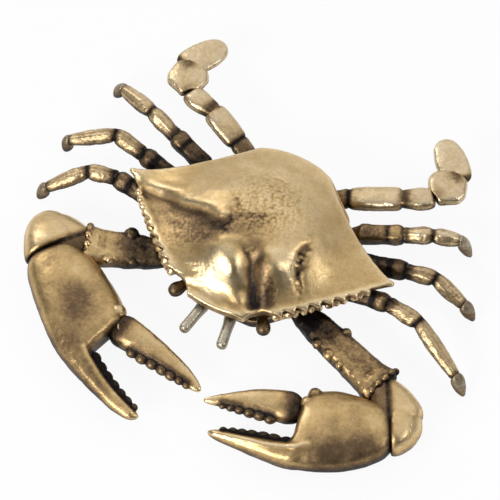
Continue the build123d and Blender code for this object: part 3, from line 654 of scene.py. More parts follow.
class Casting:
    """One casting on its way from the bench to the crab.

    Patina is left all over. It is darker in hollows and worn off high places, and painted shade darkens the
    flanks and undersides.
    """

    patina: float = 0.22
    fine_passes, fine_wear = 6, 2.8
    broad_passes, broad_wear = 40, 0.8
    # painted shade on faces that turn away from above
    flank_shade, flank_from, flank_span = 0.62, 0.52, 0.8

    def __init__(self, node: str, body: str, piece: bpy.types.Object, brass: AgedBrass) -> None:
        """Start from a shaped piece.

        Args:
            node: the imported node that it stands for.
            body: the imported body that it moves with.
            piece: the shaped piece, in millimetres.
            brass: its finish.
        """
        self.node, self.body, self.piece, self.brass = node, body, piece, brass
        self.extras: list[bpy.types.Object] = []

    def add(self, *extras: bpy.types.Object) -> Casting:
        """Put beads or other pieces on it, to be fused."""
        self.extras += extras
        return self

    def fuse(self, voxel: float, rubs: int = 2) -> Casting:
        """Fuse what was added and rub it down.

        Args:
            voxel: fineness of the new skin.
            rubs: passes of smoothing.

        Returns:
            The casting.
        """
        Bench.take(self.piece)
        for extra in self.extras:
            extra.select_set(True)
        if self.extras:
            bpy.ops.object.join()
        self.extras = []
        Bench.finish_with(self.piece, "REMESH", mode="VOXEL", voxel_size=voxel)
        Bench.finish_with(self.piece, "SMOOTH", factor=0.5, iterations=rubs)
        return self

    def work(self, relief: Field) -> Casting:
        """Raise and sink its skin.

        Args:
            relief: height in millimetres at each place, from its place and direction.

        Returns:
            The casting.
        """
        points, normals = Bench.skin(self.piece)
        moved = points + normals * relief(points, normals)[:, None]
        self.piece.data.vertices.foreach_set("co", moved.astype(np.float32).ravel())
        self.piece.data.update()
        return self

    def waves(self, height: float, length: float) -> Casting:
        """Leave the low waves of a hand-made mould in its skin.

        Args:
            height: height of the waves.
            length: their length.

        Returns:
            The casting.
        """
        name = f"waves_{length}"
        texture = bpy.data.textures.get(name) or bpy.data.textures.new(name, "CLOUDS")
        texture.noise_scale = length
        settings = {"texture_coords": "LOCAL", "strength": height, "mid_level": 0.5}
        Bench.finish_with(self.piece, "DISPLACE", texture=texture, **settings)
        return self

    def done(self, soot: Field | None = None) -> None:
        """Age it, add its painted shade, bring it to metres and fix it on the crab.

        Args:
            soot: extra patina and painted shade and highlights at each place, from its place and direction.
        """
        piece = self.piece
        points, normals = Bench.skin(piece)
        patina = self.patina + self.fine_wear * Bench.hollows(piece, self.fine_passes)
        patina += self.broad_wear * Bench.hollows(piece, self.broad_passes)
        # painted shade: faces turned sideways and downwards are darkened
        flank = np.clip((self.flank_from - normals[:, 2]) / self.flank_span, 0.0, 1.0)
        patina += self.flank_shade * flank
        if soot is not None:
            patina += soot(points, normals)
        layer = piece.data.attributes.new("patina", "FLOAT", "POINT")
        layer.data.foreach_set("value", np.clip(patina, 0.0, 1.0).astype(np.float32))
        Bench.place(piece, Matrix.Scale(MM, 4))
        bpy.ops.object.shade_smooth()
        piece.data.materials.clear()
        piece.data.materials.append(self.brass.material())
        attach(piece, self.body)
        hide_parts(self.node)
        LOG.info("%s: %d vertices", piece.name, len(piece.data.vertices))


@dataclass
class Shell:
    """Domed carapace with its spines, humps, furrows and toothed front rim.

    Spots are rows of x, y, reach and weight. Scallops and spine tips lie below the rim's level.
    """

    node: str = "carapace"
    voxel: float = 0.226
    rim_level: float = 11.5
    scallop: float = 0.85
    scallop_left: float = 0.76
    scallop_pitch: float = 1.55
    scallop_shift: Triple = (0.22, -0.26, -0.9)
    spine: Triple = (28.3, -0.8, -0.5)
    spine_radius: float = 0.75
    spine_stretch: float = 1.7
    hump: Spots = ((0.4, -14.6, 2.3, 0.7),)
    stipple_middle: Spots = ((0.8, 0.6, 6.6, 1.5),)
    stipple_front: Spots = ((-4.6, -17.0, 3.2, 0.7), (9.0, -14.0, 3.0, 0.6), (-12.0, -10.0, 6.0, 0.5))
    # painted shade where the weight is positive, and painted highlights on the humps where it is negative
    shades: Spots = (
        (-8.4, -7.6, 3.8, 0.24), (5.4, -18.0, 4.4, 0.16), (-2.0, -15.2, 3.6, -0.5), (9.2, -9.4, 2.3, -0.7),
    )
    valley: Line = ((2.6, -9.8), (4.6, -11.2), (6.0, -13.0), (7.8, -16.2))
    brow: Line = ((-4.2, -10.0), (-0.4, -8.6), (3.0, -9.6), (6.8, -8.4))
    left_furrow: Line = (
        (12.0, -1.1), (11.8, -3.4), (11.5, -5.6), (12.0, -8.6), (13.6, -10.8), (14.8, -13.1),
    )
    right_ridge: Line = ((-27.4, -1.4), (-20.9, -3.4), (-14.4, -4.0), (-6.7, -5.2), (-4.5, -4.2))
    right_furrow: Line = ((-4.6, -1.7), (-4.4, -4.5), (-4.2, -7.5))
    margin: Line = ((10.8, -17.8), (14.0, -15.4), (18.8, -10.9), (22.6, -7.2), (25.8, -3.6))
    front: Line = ((-6.2, -21.0), (0.0, -21.6), (6.2, -21.0))

    def rims(self) -> list[Line]:
        """Lines of the rolled rim: both front margins and the brow between the eyes."""
        return [self.margin, tuple((-x, y) for x, y in self.margin), self.front]

    def left_cut(self, points: np.ndarray, width: float) -> np.ndarray:
        """Weight of the left furrow, which runs out at both ends."""
        away, _, share = beside(points, self.left_furrow)
        return np.exp(-((away / width) ** 2)) * np.sin(np.pi * np.clip(share, 0.06, 0.94))

    def stippled(self, points: np.ndarray) -> np.ndarray:
        """Weight of the places that are stippled: the middle and rear, and patches in front."""
        return np.clip(spotted(points, self.stipple_middle), 0.0, 1.0) + spotted(points, self.stipple_front)

    def relief(self, points: np.ndarray, normals: np.ndarray) -> np.ndarray:
        """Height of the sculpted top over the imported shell.

        Args:
            points: places on the shell, one a row.
            normals: its outward direction at each.

        Returns:
            The height of each place, in millimetres.
        """
        height = spotted(points, self.hump)
        raised = [(self.brow, 0.15, 1.0), (self.valley, 0.35, 1.5), (self.right_ridge, 0.08, 0.7)]
        for path, rise, width in raised + [(rim, 0.2, 0.8) for rim in self.rims()]:
            height += rise * crease(points, path, width)
        rough = 0.45 + 0.75 * grains(points, 1.2)
        height -= 0.7 * rough * self.left_cut(points, 1.0)
        height -= 0.25 * rough * crease(points, self.right_furrow, 1.2)
        height += self.stippled(points) * (0.06 - 0.1 * grains(points, 0.7) - 0.06 * grains(points, 0.45))
        return height * np.clip((normals[:, 2] - 0.25) / 0.3, 0.0, 1.0)

    def soot(self, points: np.ndarray, normals: np.ndarray) -> np.ndarray:
        """Patina in the furrows, painted shade along the valley, in front of the ridge, at the end of the
        right furrow and below the shell, and painted highlights on the humps.

        Args:
            points: places on the shell, one a row.
            normals: its outward direction at each.

        Returns:
            The extra patina and painted shade of each place, lower where a highlight is painted.
        """
        rough = np.clip(1.3 * grains(points, 1.1) - 0.1, 0.0, 1.0)
        dark = 0.8 * rough * self.left_cut(points, 1.3)
        # patina in the right furrow's groove, with painted shade where the ridge ends
        dark += 0.35 * rough * crease(points, self.right_furrow, 1.5)
        # painted shade along the valley
        away, _, share = beside(points, self.valley)
        dark += 0.55 * np.exp(-((away / 2.7) ** 4)) * np.clip(0.4 + 2.0 * share, 0.0, 1.0) - 0.05
        # painted shade on the facet in front of the right ridge, and a lighter line along the ridge
        away, hand, share = beside(points, self.right_ridge)
        before = np.clip(-hand * away, 0.0, 1.0) * np.clip(0.4 + share, 0.0, 1.0)
        dark += 0.3 * np.exp(-((away / 8.0) ** 4)) * before - 0.08 * np.exp(-((away / 0.5) ** 2))
        # the outer wings a little darker, then the painted shade and painted highlight spots
        wings = np.clip((np.abs(points[:, 0]) - 9.0) / 8.0, 0.0, 1.0)
        dark += 0.07 * wings + spotted(points, self.shades)
        dark += 0.13 * self.stippled(points) * np.clip(grains(points, 0.7) - 0.42, 0.0, 1.0) / 0.3
        for rim in self.rims():
            dark -= 0.14 * crease(points, rim, 0.6)
        # painted shade on faces that turn downwards
        below = np.clip(-normals[:, 2] - 0.2, 0.0, 1.0)
        return dark * np.clip(normals[:, 2] + 0.3, 0.0, 1.0) + 0.5 * below

    def build(self, frame: dict) -> None:
        """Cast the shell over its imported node.

        Args:
            frame: the loaded frame.
        """
        casting = Casting(self.node, BODY, Bench.copy_node(frame, self.node), RUBBED)
        out, ahead, drop = self.scallop_shift
        for side in Side:
            size = self.scallop * (self.scallop_left if side is Side.LEFT else 1.0)
            for start, end in zip(self.margin, self.margin[1:]):
                scallops = round(math.dist(start, end) / self.scallop_pitch)
                for index in range(scallops):
                    share = (index + 0.5) / scallops
                    x = side.value * (start[0] + (end[0] - start[0]) * share + out)
                    y = start[1] + (end[1] - start[1]) * share + ahead
                    casting.add(Bench.knob(Vector((x, y, self.rim_level + drop)), size))
            tip = Vector((side.value * self.spine[0], self.spine[1], self.rim_level + self.spine[2]))
            way = Vector((side.value, 0.1, 0.0))
            casting.add(Bench.knob(tip, self.spine_radius, way, self.spine_stretch))
        casting.fuse(self.voxel, rubs=5).waves(height=0.25, length=5.0).work(self.relief).done(self.soot)


@dataclass
class Face:
    """Front wall with the eyes, feelers and mouth plates. Pegs are rows of distance and radius."""

    middle: float = -3.0
    eye_angle: float = 31.0
    eye_level: float = 7.3
    eye_soot: float = 0.42
    eye: Line = (
        (13.0, 0.9), (15.6, 0.9), (16.3, 1.17), (16.9, 1.08), (17.5, 1.23), (18.2, 1.5), (19.1, 1.53),
        (19.9, 1.23), (20.4, 0.525),
    )
    feeler_angle: float = 10.0
    feeler_level: float = 8.0
    feeler: Line = (
        (13.0, 1.0), (16.4, 1.2), (17.4, 1.4), (18.4, 1.2), (20.5, 1.12), (22.6, 1.14), (23.7, 1.2),
        (24.3, 1.0), (24.6, 0.5),
    )

    def pegs(self, node: str, brass: AgedBrass, angle: float, level: float, peg: Line) -> Casting:
        """A peg on each side, running outward from the middle of the face.

        Args:
            node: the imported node.
            brass: its finish.
            angle: degrees from straight ahead to the peg.
            level: its height.
            peg: its shape.

        Returns:
            The casting of both.
        """
        stations = straight([(x, radius, radius) for x, radius in peg])
        pair = []
        for side in Side:
            spoke = plane(Vector((0.0, self.middle, level)), ray(angle * side.value - 90.0), UP)
            pair.append(Bench.limb(f"{node}_casting", spoke, stations))
        return Casting(node, BODY, pair[0], brass).add(pair[1])

    def build(self, frame: dict) -> None:
        """Cast the eyes and feelers, and age the wall and mouth plates.

        Args:
            frame: the loaded frame.
        """
        eyes = self.pegs("eyes", SHADED, self.eye_angle, self.eye_level, self.eye)
        eyes.fuse(voxel=0.13, rubs=1).waves(height=0.12, length=1.2).done(
            lambda points, _: np.full(len(points), self.eye_soot)
        )
        feelers = self.pegs("antennae", PALE, self.feeler_angle, self.feeler_level, self.feeler)
        feelers.fuse(voxel=0.12, rubs=1).waves(height=0.14, length=1.4).done()
        for node in ("face_plate", "mouth_plates"):
            wall = Casting(node, BODY, Bench.copy_node(frame, node), DARK)
            wall.fuse(voxel=0.18, rubs=3).waves(height=0.18, length=1.6).done()


class Limb:
    """What claws and legs share: the names of their nodes and the start of their castings."""

    name: str

    def draw(
        self,
        part: str,
        frame: Matrix,
        stations: Sequence[Station],
        section: Section,
        brass: AgedBrass,
        body: str = "",
        sides: int = 16,
    ) -> Casting:
        """Draw one of the limb's pieces.

        Args:
            part: the piece's part of its node's name.
            frame: its frame.
            stations: its sections.
            section: their shape.
            brass: its finish.
            body: the part whose body it moves with, if that isn't its own.
            sides: corners of a section.

        Returns:
            The casting.
        """
        node = f"{self.name}_{part}"
        piece = Bench.limb(f"{node}_casting", frame, stations, section, sides)
        return Casting(node, f"{self.name}_{body or part}", piece, brass)


@dataclass
class WalkingLeg(Limb):
    """Thigh, two-jointed shin and toe of one walking leg."""

    side: Side
    number: int
    carpus: float
    shank: float
    carpus_bend: float
    shank_bend: float
    toe_bend: float
    shade: float
    root_soot: float = 0.75
    ankle_girth: float = 1.22
    shank_high: float = 1.04
    shank_wide: float = 0.98
    toe_root: float = 1.2
    toe_wide: float = 0.95
    toe_tip: float = 0.3
    floor_gap: float = 0.2

    @property
    def name(self) -> str:
        """Start of the leg's node names."""
        return f"{self.side.word}_leg_{self.number}"

    def build(self, bones: Skeleton) -> None:
        """Cast the leg's three pieces.

        Args:
            bones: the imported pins.
        """
        hip, knee = bones.at(f"{self.name}_hip"), bones.at(f"{self.name}_knee")
        frame = plane(knee, (knee - hip).normalized(), bones.axis(f"{self.name}_knee"))
        ankle = polar(self.carpus, self.carpus_bend)
        heel = polar(self.shank, self.shank_bend)
        seat = frame @ Vector((ankle[0] + heel[0], ankle[1] + heel[1], 0.0))
        self.thigh(hip, knee, frame)
        self.shin(knee, ankle, seat, frame)
        self.toe(seat, frame.to_3x3())

    def thigh(self, hip: Vector, knee: Vector, frame: Matrix) -> None:
        """Cast the thigh on its hip pin.

        Args:
            hip: the hip pin.
            knee: the knee pin.
            frame: the leg's frame, at the knee.
        """
        along = knee - hip
        long = along.length
        steps = (
            (-long, 1.1, 1.1), (4.2 - long, 1.15, 1.15), (5.6 - long, 1.85, 1.95), (-0.62 * long, 2.1, 2.15),
            (-0.4 * long, 1.85, 1.85), (-3.4, 1.85, 1.8), (-2.2, 2.08, 2.0), (-1.2, 2.02, 1.95),
            (-0.3, 1.6, 1.55), (0.2, 0.8, 0.8),
        )
        ring = knee - 3.5 * along.normalized()
        casting = self.draw("thigh", frame, straight(steps), Section.BLOCK, SHADED).add(Bench.puck(hip))
        casting.fuse(voxel=0.15).waves(height=0.3, length=1.5).done(
            lambda points, _: self.root_soot * spread(points, hip, 0.75 * long)
            + 0.6 * band(points, knee, along, width=0.9)
            + 0.4 * band(points, ring, along, width=0.6)
            + self.shade
        )

    def shin(self, knee: Vector, ankle: tuple[float, float], seat: Vector, frame: Matrix) -> None:
        """Cast the shin, carpus and shank in one.

        Args:
            knee: the knee pin.
            ankle: the bend, in the leg's frame.
            seat: where the toe sits.
            frame: the leg's frame, at the knee.
        """
        upper = (
            (-0.18, 0.8), (-0.1, 1.4), (0.02, 1.68), (0.17, 1.5), (0.4, 1.74), (0.72, 1.82), (0.9, 1.6),
        )
        lower = ((0.1, 1.5), (0.3, 1.72), (0.6, 1.6), (0.86, 1.3), (0.97, 1.22), (1.02, 0.8))
        stations = bent([(share, r, r) for share, r in upper], self.carpus_bend, self.carpus)
        mean = (self.carpus_bend + self.shank_bend) / 2
        stations.append(Station(*ankle, mean, self.ankle_girth, self.ankle_girth))
        rows = [(share, r * self.shank_high, r * self.shank_wide) for share, r in lower]
        stations += bent(rows, self.shank_bend, self.shank, ankle)
        bead = frame @ Vector((*ankle, 0.0))
        first, second = bead - knee, seat - bead
        casting = self.draw("shin", frame, stations, Section.FLUTED, WORN)
        casting.fuse(voxel=0.15).waves(height=0.26, length=1.4).done(
            lambda points, _: 0.6 * band(points, knee, first, width=1.0)
            + 0.6 * band(points, bead, first + second, width=0.6)
            + 0.55 * band(points, seat, second, width=0.7)
            + 0.08 + 0.6 * self.shade
        )

    def toe(self, seat: Vector, basis: Matrix) -> None:
        """Cast the toe that reaches the floor.

        Args:
            seat: where it sits on the shin.
            basis: the leg's directions.
        """
        way = basis @ ray(self.shank_bend)
        down = (way * way.z - UP).normalized()
        bend = math.radians(self.toe_bend)
        toe_way = way * math.cos(bend) + down * math.sin(bend)
        x, y = polar((seat.z - self.floor_gap - self.toe_tip) / -toe_way.z, self.toe_bend)
        stations = []
        for share, heading, girth in (
            (-0.12, 0.0, 0.5), (-0.02, 0.15, 1.0), (0.16, 0.5, 1.28), (0.42, 0.85, 1.22), (0.7, 1.0, 0.92),
            (0.92, 1.0, 0.5), (1.0, 1.0, 0.22),
        ):
            lag = 0.9 if share < 0.5 else 1.0
            radius = self.toe_root * girth
            angle = heading * self.toe_bend
            stations.append(Station(x * share, y * share * lag, angle, radius, radius * self.toe_wide))
        frame = plane(seat, way, way.cross(down))
        casting = self.draw("toe", frame, stations, Section.OVAL, PALE, body="shin")
        casting.fuse(voxel=0.12, rubs=1).waves(height=0.18, length=1.0).done(
            lambda points, _: 0.5 * spread(points, seat, reach=1.0) + 0.1 + 0.5 * self.shade
        )


@dataclass
class SwimmingLeg(Limb):
    """Block thigh, carpus, flat plate and oval paddle of one swimming leg."""

    side: Side
    carpus_turn: float
    plate_turn: float
    paddle_turn: float
    block_from: float
    carpus: float = 6.2
    plate: float = 6.8
    paddle: float = 9.4

    @property
    def name(self) -> str:
        """Start of the leg's node names."""
        return f"{self.side.word}_swimmer"

    def build(self, bones: Skeleton) -> None:
        """Cast the leg's four pieces.

        Args:
            bones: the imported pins.
        """
        hip, knee, hinge = (bones.at(f"{self.name}_{joint}") for joint in ("hip", "knee", "paddle"))
        along = knee - hip
        heading = math.degrees(math.atan2(along.y, along.x)) + self.side.value * self.plate_turn
        self.thigh(hip, knee)
        self.outer(knee, hinge, plane(knee, Vector((along.x, along.y, 0.0)), UP))
        self.blade(hinge, plane(hinge, ray(heading), UP))

    def thigh(self, hip: Vector, knee: Vector) -> None:
        """Cast the block-shaped thigh.

        Args:
            hip: the hip pin.
            knee: the knee pin.
        """
        along = knee - hip
        long = along.length
        level = Vector((along.x, along.y, 0.0)).cross(UP)
        frame = plane(hip, along, level.cross(along))
        seam = self.block_from * long
        steps = (
            (0.0, 1.1, 1.5), (4.2, 1.15, 1.7), (seam - 1.2, 1.45, 2.1), (seam - 0.2, 1.5, 2.1),
            (seam, 1.15, 1.75), (seam + 0.4, 1.4, 2.2), (seam + 1.6, 1.68, 2.5), (0.9 * long, 1.7, 2.6),
            (0.96 * long, 1.5, 2.3), (long, 1.0, 1.4),
        )
        ring = hip + along.normalized() * seam
        casting = self.draw("thigh", frame, straight(steps), Section.BLOCK, WORN).add(Bench.puck(hip))
        casting.fuse(voxel=0.16).waves(height=0.22, length=2.0).done(
            lambda points, _: 0.8 * spread(points, hip, seam)
            + 0.5 * band(points, ring, along, width=0.7)
            + 0.6 * band(points, knee, along, width=1.0)
        )

    def outer(self, knee: Vector, hinge: Vector, frame: Matrix) -> None:
        """Cast the carpus and the flat plate past the knee.

        Args:
            knee: the knee pin.
            hinge: the paddle's pin.
            frame: the leg's level frame, at the knee.
        """
        first, second = self.side.value * self.carpus_turn, self.side.value * self.plate_turn
        mean = (first + second) / 2
        seam = polar(self.carpus, first)
        bead = frame @ Vector((*seam, 0.0))
        steps = (
            (-0.28, 0.7, 0.9), (-0.16, 1.2, 1.6), (0.0, 1.45, 1.9), (0.2, 1.5, 2.05), (0.5, 1.62, 2.5),
            (0.8, 1.55, 2.35),
        )
        stations = bent(steps, first, self.carpus)
        stations.append(Station(0.98 * seam[0], 0.98 * seam[1], mean, 1.2, 1.8))
        carpus = self.draw("carpus", frame, stations, Section.BLOCK, WORN)
        carpus.fuse(voxel=0.15).waves(height=0.2, length=1.6).done(
            lambda points, _: 0.6 * band(points, knee, bead - knee, width=1.2)
            + 0.6 * band(points, bead, bead - knee, width=0.7)
        )
        steps = (
            (0.04, 1.3, 2.1), (0.1, 1.36, 2.5), (0.34, 1.42, 4.1), (0.42, 1.42, 4.3), (0.62, 1.4, 4.3),
            (0.7, 1.36, 4.1), (0.98, 1.2, 2.7), (1.06, 1.1, 2.3), (1.12, 0.8, 1.5),
        )
        stations = [Station(*seam, mean, 1.1, 1.7)] + bent(steps, second, self.plate, seam)
        plate = self.draw("plate", frame, stations, Section.BLOCK, WORN, body="carpus")
        plate.fuse(voxel=0.15).waves(height=0.2, length=1.6).done(
            lambda points, _: 0.6 * spread(points, bead, reach=1.7) + 0.65 * spread(points, hinge, reach=2.0)
        )

    def blade(self, hinge: Vector, frame: Matrix) -> None:
        """Cast the oval paddle on its pin.

        Args:
            hinge: the pin.
            frame: the plate's level frame, at the pin.
        """
        turn = self.side.value * self.paddle_turn
        along = frame.to_3x3() @ ray(turn)
        steps = (
            (-0.2, 0.5, 1.2), (-0.13, 0.85, 2.5), (0.02, 1.05, 3.2), (0.28, 1.12, 3.4), (0.52, 1.1, 3.3),
            (0.74, 0.98, 2.8), (0.89, 0.75, 2.0), (0.95, 0.5, 1.1), (0.97, 0.25, 0.4),
        )
        casting = self.draw("paddle", frame, bent(steps, turn, self.paddle), Section.BLOCK, WORN)
        casting.fuse(voxel=0.15).waves(height=0.2, length=1.8).done(
            lambda points, _: 0.75 * band(points, hinge - 1.2 * along, along, width=0.9, reach=6.0)
        )


class Outline(NamedTuple):
    """A claw at one distance from its pin: its outer edge, its edge towards the body, its half height."""

    x: float
    outer: float
    inner: float
    high: float


def outlines(*rows: tuple[float, float, float, float]) -> tuple[Outline, ...]:
    """Outlines from rows of distance, outer edge, inner edge and half height."""
    return tuple(Outline(*row) for row in rows)


@dataclass
class Claw(Limb):
    """Arm, elbow cap, palm with fixed finger, and movable finger of one claw.

    Teeth are rows of x, y and radius, the hollow is x, y, reach and depth, spots are rows of x, y, reach and
    weight, palm knobs are rows of place and radius, and arm knobs are rows of share, edge and radius.
    """

    side: Side
    palm_length: float
    finger_offset: float
    finger_opening: float
    arm_width: float
    cap: Sequence[Outline]
    palm: Sequence[Outline]
    finger: Sequence[Outline]
    fixed_teeth: Rows
    finger_teeth: Rows
    crest: Line
    hollow: tuple[float, float, float, float]
    # spots with negative weight are painted highlights
    spots: Spots
    palm_knobs: Spots
    arm_knobs: Rows
    arm_dark: float
    arm_shade: float
    arm_shift: float = 0.35
    knob_edge: float = 0.74
    knob_level: float = 1.1
    knob_stretch: float = 1.15
    rim_bead: float = 0.8
    rim_past: float = 0.4
    rim_wide: float = 1.08
    rim_level: float = 0.7
    rim_high: float = 1.85
    rim_turns: Sequence[float] = (-78.0, -46.0, -15.0, 15.0, 46.0, 78.0)
    tooth_size: float = 1.28
    tooth_stretch: float = 1.2
    tooth_gap: float = 1.25

    @property
    def name(self) -> str:
        """Start of the claw's node names."""
        return f"{self.side.word}_claw"

    @property
    def inner(self) -> int:
        """Sign of y on the side towards the body."""
        return -self.side.value

    def stations(self, rows: Sequence[Outline]) -> list[Station]:
        """Sections between an inner and an outer edge."""
        middles = [self.inner * (row.inner + row.outer) / 2 for row in rows]
        return [Station(o.x, y, 0.0, o.high, (o.inner - o.outer) / 2) for o, y in zip(rows, middles)]

    def flat(self, points: np.ndarray, frame: Matrix) -> np.ndarray:
        """Places along a piece of the claw and towards the body."""
        return inside(points, frame)[:, :2] * np.array((1.0, self.inner))

    def set_teeth(self, casting: Casting, frame: Matrix, teeth: Rows, level: float, lean: float) -> None:
        """Set a row of teeth along a finger.

        Args:
            casting: the finger.
            frame: its frame.
            teeth: the teeth.
            level: their height.
            lean: how far they turn towards the body.
        """
        way = frame.to_3x3() @ Vector((1.0, lean * self.inner, 0.0))
        for x, y, radius in teeth:
            at = frame @ Vector((x, self.inner * y, level))
            casting.add(Bench.knob(at, self.tooth_size * radius, way, self.tooth_stretch))

    def build(self, bones: Skeleton) -> None:
        """Cast the claw's four pieces.

        Args:
            bones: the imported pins.
        """
        joints = ("shoulder", "elbow", "wrist", "finger")
        shoulder, elbow, wrist, pin = (bones.at(f"{self.name}_{joint}") for joint in joints)
        reach = pin - wrist
        offset = math.atan2(self.inner * self.finger_offset, self.palm_length)
        heading = math.degrees(math.atan2(reach.y, reach.x) - offset)
        palm_frame = plane(wrist, ray(heading), UP)
        self.cast_arm(shoulder, elbow)
        self.cast_cap(elbow, palm_frame)
        self.cast_palm(pin, palm_frame)
        self.cast_finger(plane(pin, ray(heading + self.inner * self.finger_opening), UP))

    def cast_arm(self, shoulder: Vector, elbow: Vector) -> None:
        """Cast the dark arm with its trough and knobs, and the beaded rim at the elbow.

        Args:
            shoulder: the shoulder pin.
            elbow: the elbow pin.
        """
        along = elbow - shoulder
        long = along.length
        frame = plane(shoulder, along, UP)
        wide, inner = self.arm_width, self.inner
        steps = (
            (0.0, 1.1, 1.9), (4.4, 1.15, 2.1), (6.2, 2.0, 0.8 * wide), (0.45 * long, 2.5, 0.92 * wide),
            (0.72 * long, 2.6, wide), (long - 2.6, 2.6, 1.02 * wide), (long - 0.8, 2.8, 1.18 * wide),
            (long + 0.6, 2.8, 1.22 * wide), (long + 1.4, 2.2, 0.98 * wide), (long + 2.0, 1.0, 0.5 * wide),
        )
        casting = self.draw("arm", frame, straight(steps, inner * self.arm_shift), Section.BLOCK, SHADED)
        casting.add(Bench.puck(shoulder))
        for share, edge, radius in self.arm_knobs:
            y = inner * (edge * wide * self.knob_edge + self.arm_shift)
            at = frame @ Vector((share * long, y, self.knob_level))
            way = frame.to_3x3() @ Vector((0.4, inner * edge, 0.6))
            casting.add(Bench.knob(at, radius, way, self.knob_stretch))
        for turn in self.rim_turns:
            lean = math.radians(turn)
            y = self.rim_wide * wide * math.sin(lean)
            at = Vector((long + self.rim_past, y, self.rim_level + self.rim_high * math.cos(lean)))
            casting.add(Bench.knob(frame @ at, self.rim_bead))

        def trough(points: np.ndarray, normals: np.ndarray) -> np.ndarray:
            """Hollow along the top, between raised edges.

            Args:
                points: places on the arm, one a row.
                normals: its outward direction at each.

            Returns:
                The height of each place, in millimetres.
            """
            x, y, _ = inside(points, frame).T
            window = np.clip((x - 0.38 * long) / 2.0, 0.0, 1.0) * np.clip((long - 1.6 - x) / 1.5, 0.0, 1.0)
            return -0.75 * window * np.exp(-((y / (0.55 * wide)) ** 2)) * np.clip(normals[:, 2], 0.0, 1.0)

        def soot(points: np.ndarray, normals: np.ndarray) -> np.ndarray:
            """Patina towards the body, at the elbow and along the lower edge.

            Args:
                points: places on the arm, one a row.
                normals: its outward direction at each.

            Returns:
                The extra patina of each place.
            """
            x, y = self.flat(points, frame).T
            edge = np.clip((-y - 0.3 * wide) / wide, 0.0, 1.0)
            dark = np.clip((self.arm_dark * long - x) / (0.22 * long), 0.0, 1.0)
            rim = band(points, elbow + 1.2 * along.normalized(), along, width=0.8)
            return self.arm_shade + 0.52 * dark + 0.3 * edge + 0.6 * rim

        casting.fuse(voxel=0.16).work(trough).waves(height=0.42, length=2.2).done(soot)

    def cast_cap(self, elbow: Vector, frame: Matrix) -> None:
        """Cast the rounded cap between arm and palm, with its neck to the elbow.

        Args:
            elbow: the elbow pin.
            frame: the palm's frame.
        """
        casting = self.draw("carpus", frame, self.stations(self.cap), Section.FULL, RUBBED)
        waist = self.cap[len(self.cap) // 2]
        middle = frame @ Vector((waist.x, self.inner * (waist.inner + waist.outer) / 2, 0.0))
        reach = (middle - elbow).length
        steps = (
            (-1.4, 1.2, 1.4), (0.0, 2.2, 2.6), (1.4, 2.9, 3.4), (0.45 * reach, 3.5, 4.6),
            (0.8 * reach, 3.9, 5.0), (reach, 3.7, 4.4), (reach + 1.2, 1.8, 2.2),
        )
        neck = plane(elbow, middle - elbow, UP)
        casting.add(Bench.limb("neck", neck, straight(steps), Section.FULL))
        casting.fuse(voxel=0.17, rubs=3).waves(height=0.25, length=3.0)

        def soot(points: np.ndarray, normals: np.ndarray) -> np.ndarray:
            """Dark line where the cap meets the palm and the arm.

            Args:
                points: places on the cap, one a row.
                normals: its outward direction at each.

            Returns:
                The extra patina of each place.
            """
            off = inside(points, frame)[:, 0] - self.cap[-1].x
            seam = np.maximum(0.7 * np.exp(-((off / 0.9) ** 2)), 0.46 * np.clip(off / 0.8, 0.0, 1.0))
            return seam - 0.04 + 0.5 * spread(points, elbow, reach=2.4)

        casting.done(soot)

    def cast_palm(self, pin: Vector, frame: Matrix) -> None:
        """Cast the egg-shaped palm with its hollow, crest, fixed finger and teeth.

        Args:
            pin: the finger's pin.
            frame: the palm's frame.
        """
        casting = self.draw("palm", frame, self.stations(self.palm), Section.FULL, RUBBED, sides=20)
        self.set_teeth(casting, frame, self.fixed_teeth, level=0.3, lean=0.2)
        for x, y, z, radius in self.palm_knobs:
            casting.add(Bench.knob(frame @ Vector((x, self.inner * y, z)), radius))

        def relief(points: np.ndarray, normals: np.ndarray) -> np.ndarray:
            """Shallow hollow and raised crest on top.

            Args:
                points: places on the palm, one a row.
                normals: its outward direction at each.

            Returns:
                The height of each place, in millimetres.
            """
            local = self.flat(points, frame)
            x, y, reach, depth = self.hollow
            away = ((local - np.array((x, y))) / np.array((1.6 * reach, reach))) ** 2
            height = 0.34 * crease(local, self.crest, 0.75) - depth * np.exp(-(np.sum(away, axis=1) ** 1.6))
            return np.clip(1.4 * normals[:, 2], 0.0, 1.0) * height

        def soot(points: np.ndarray, normals: np.ndarray) -> np.ndarray:
            """Patina in the hollow, at the wrist, at the finger's root and between the teeth, darker places
            from the spots, and painted highlights where a spot's weight is negative.

            Args:
                points: places on the palm, one a row.
                normals: its outward direction at each.

            Returns:
                The extra patina of each place, lower where a highlight is painted.
            """
            local = self.flat(points, frame)
            dark = 0.75 * np.exp(-(((local[:, 0] - self.palm[0].x - 0.5) / 1.2) ** 2))
            # spots: darker places, and painted highlights where the weight is negative
            dark += 0.65 * spread(points, pin - UP * 0.5, reach=3.0) + spotted(local, self.spots)
            dark -= 0.14 * crease(local, self.crest, 0.6)
            return dark + 0.14 + 0.68 * crease(local, self.fixed_teeth, self.tooth_gap, 4)

        casting.fuse(voxel=0.18).work(relief).waves(height=0.28, length=3.4).done(soot)

    def cast_finger(self, frame: Matrix) -> None:
        """Cast the movable finger with its ridge and teeth.

        Args:
            frame: the finger's frame, at its pin.
        """
        keel = Section.KEEL_RIGHT if self.side is Side.RIGHT else Section.KEEL_LEFT
        casting = self.draw("finger", frame, self.stations(self.finger), keel, RUBBED)
        self.set_teeth(casting, frame, self.finger_teeth, level=0.1, lean=0.0)

        def soot(points: np.ndarray, normals: np.ndarray) -> np.ndarray:
            """Patina at the root and between the teeth.

            Args:
                points: places on the finger, one a row.
                normals: its outward direction at each.

            Returns:
                The extra patina of each place.
            """
            local = self.flat(points, frame)
            root = 0.7 * np.exp(-((np.clip(local[:, 0] + 0.6, 0.0, None) / 2.3) ** 2))
            return root + 0.02 + 0.6 * crease(local, self.finger_teeth, self.tooth_gap, 4)

        casting.fuse(voxel=0.16).waves(height=0.22, length=2.4).done(soot)


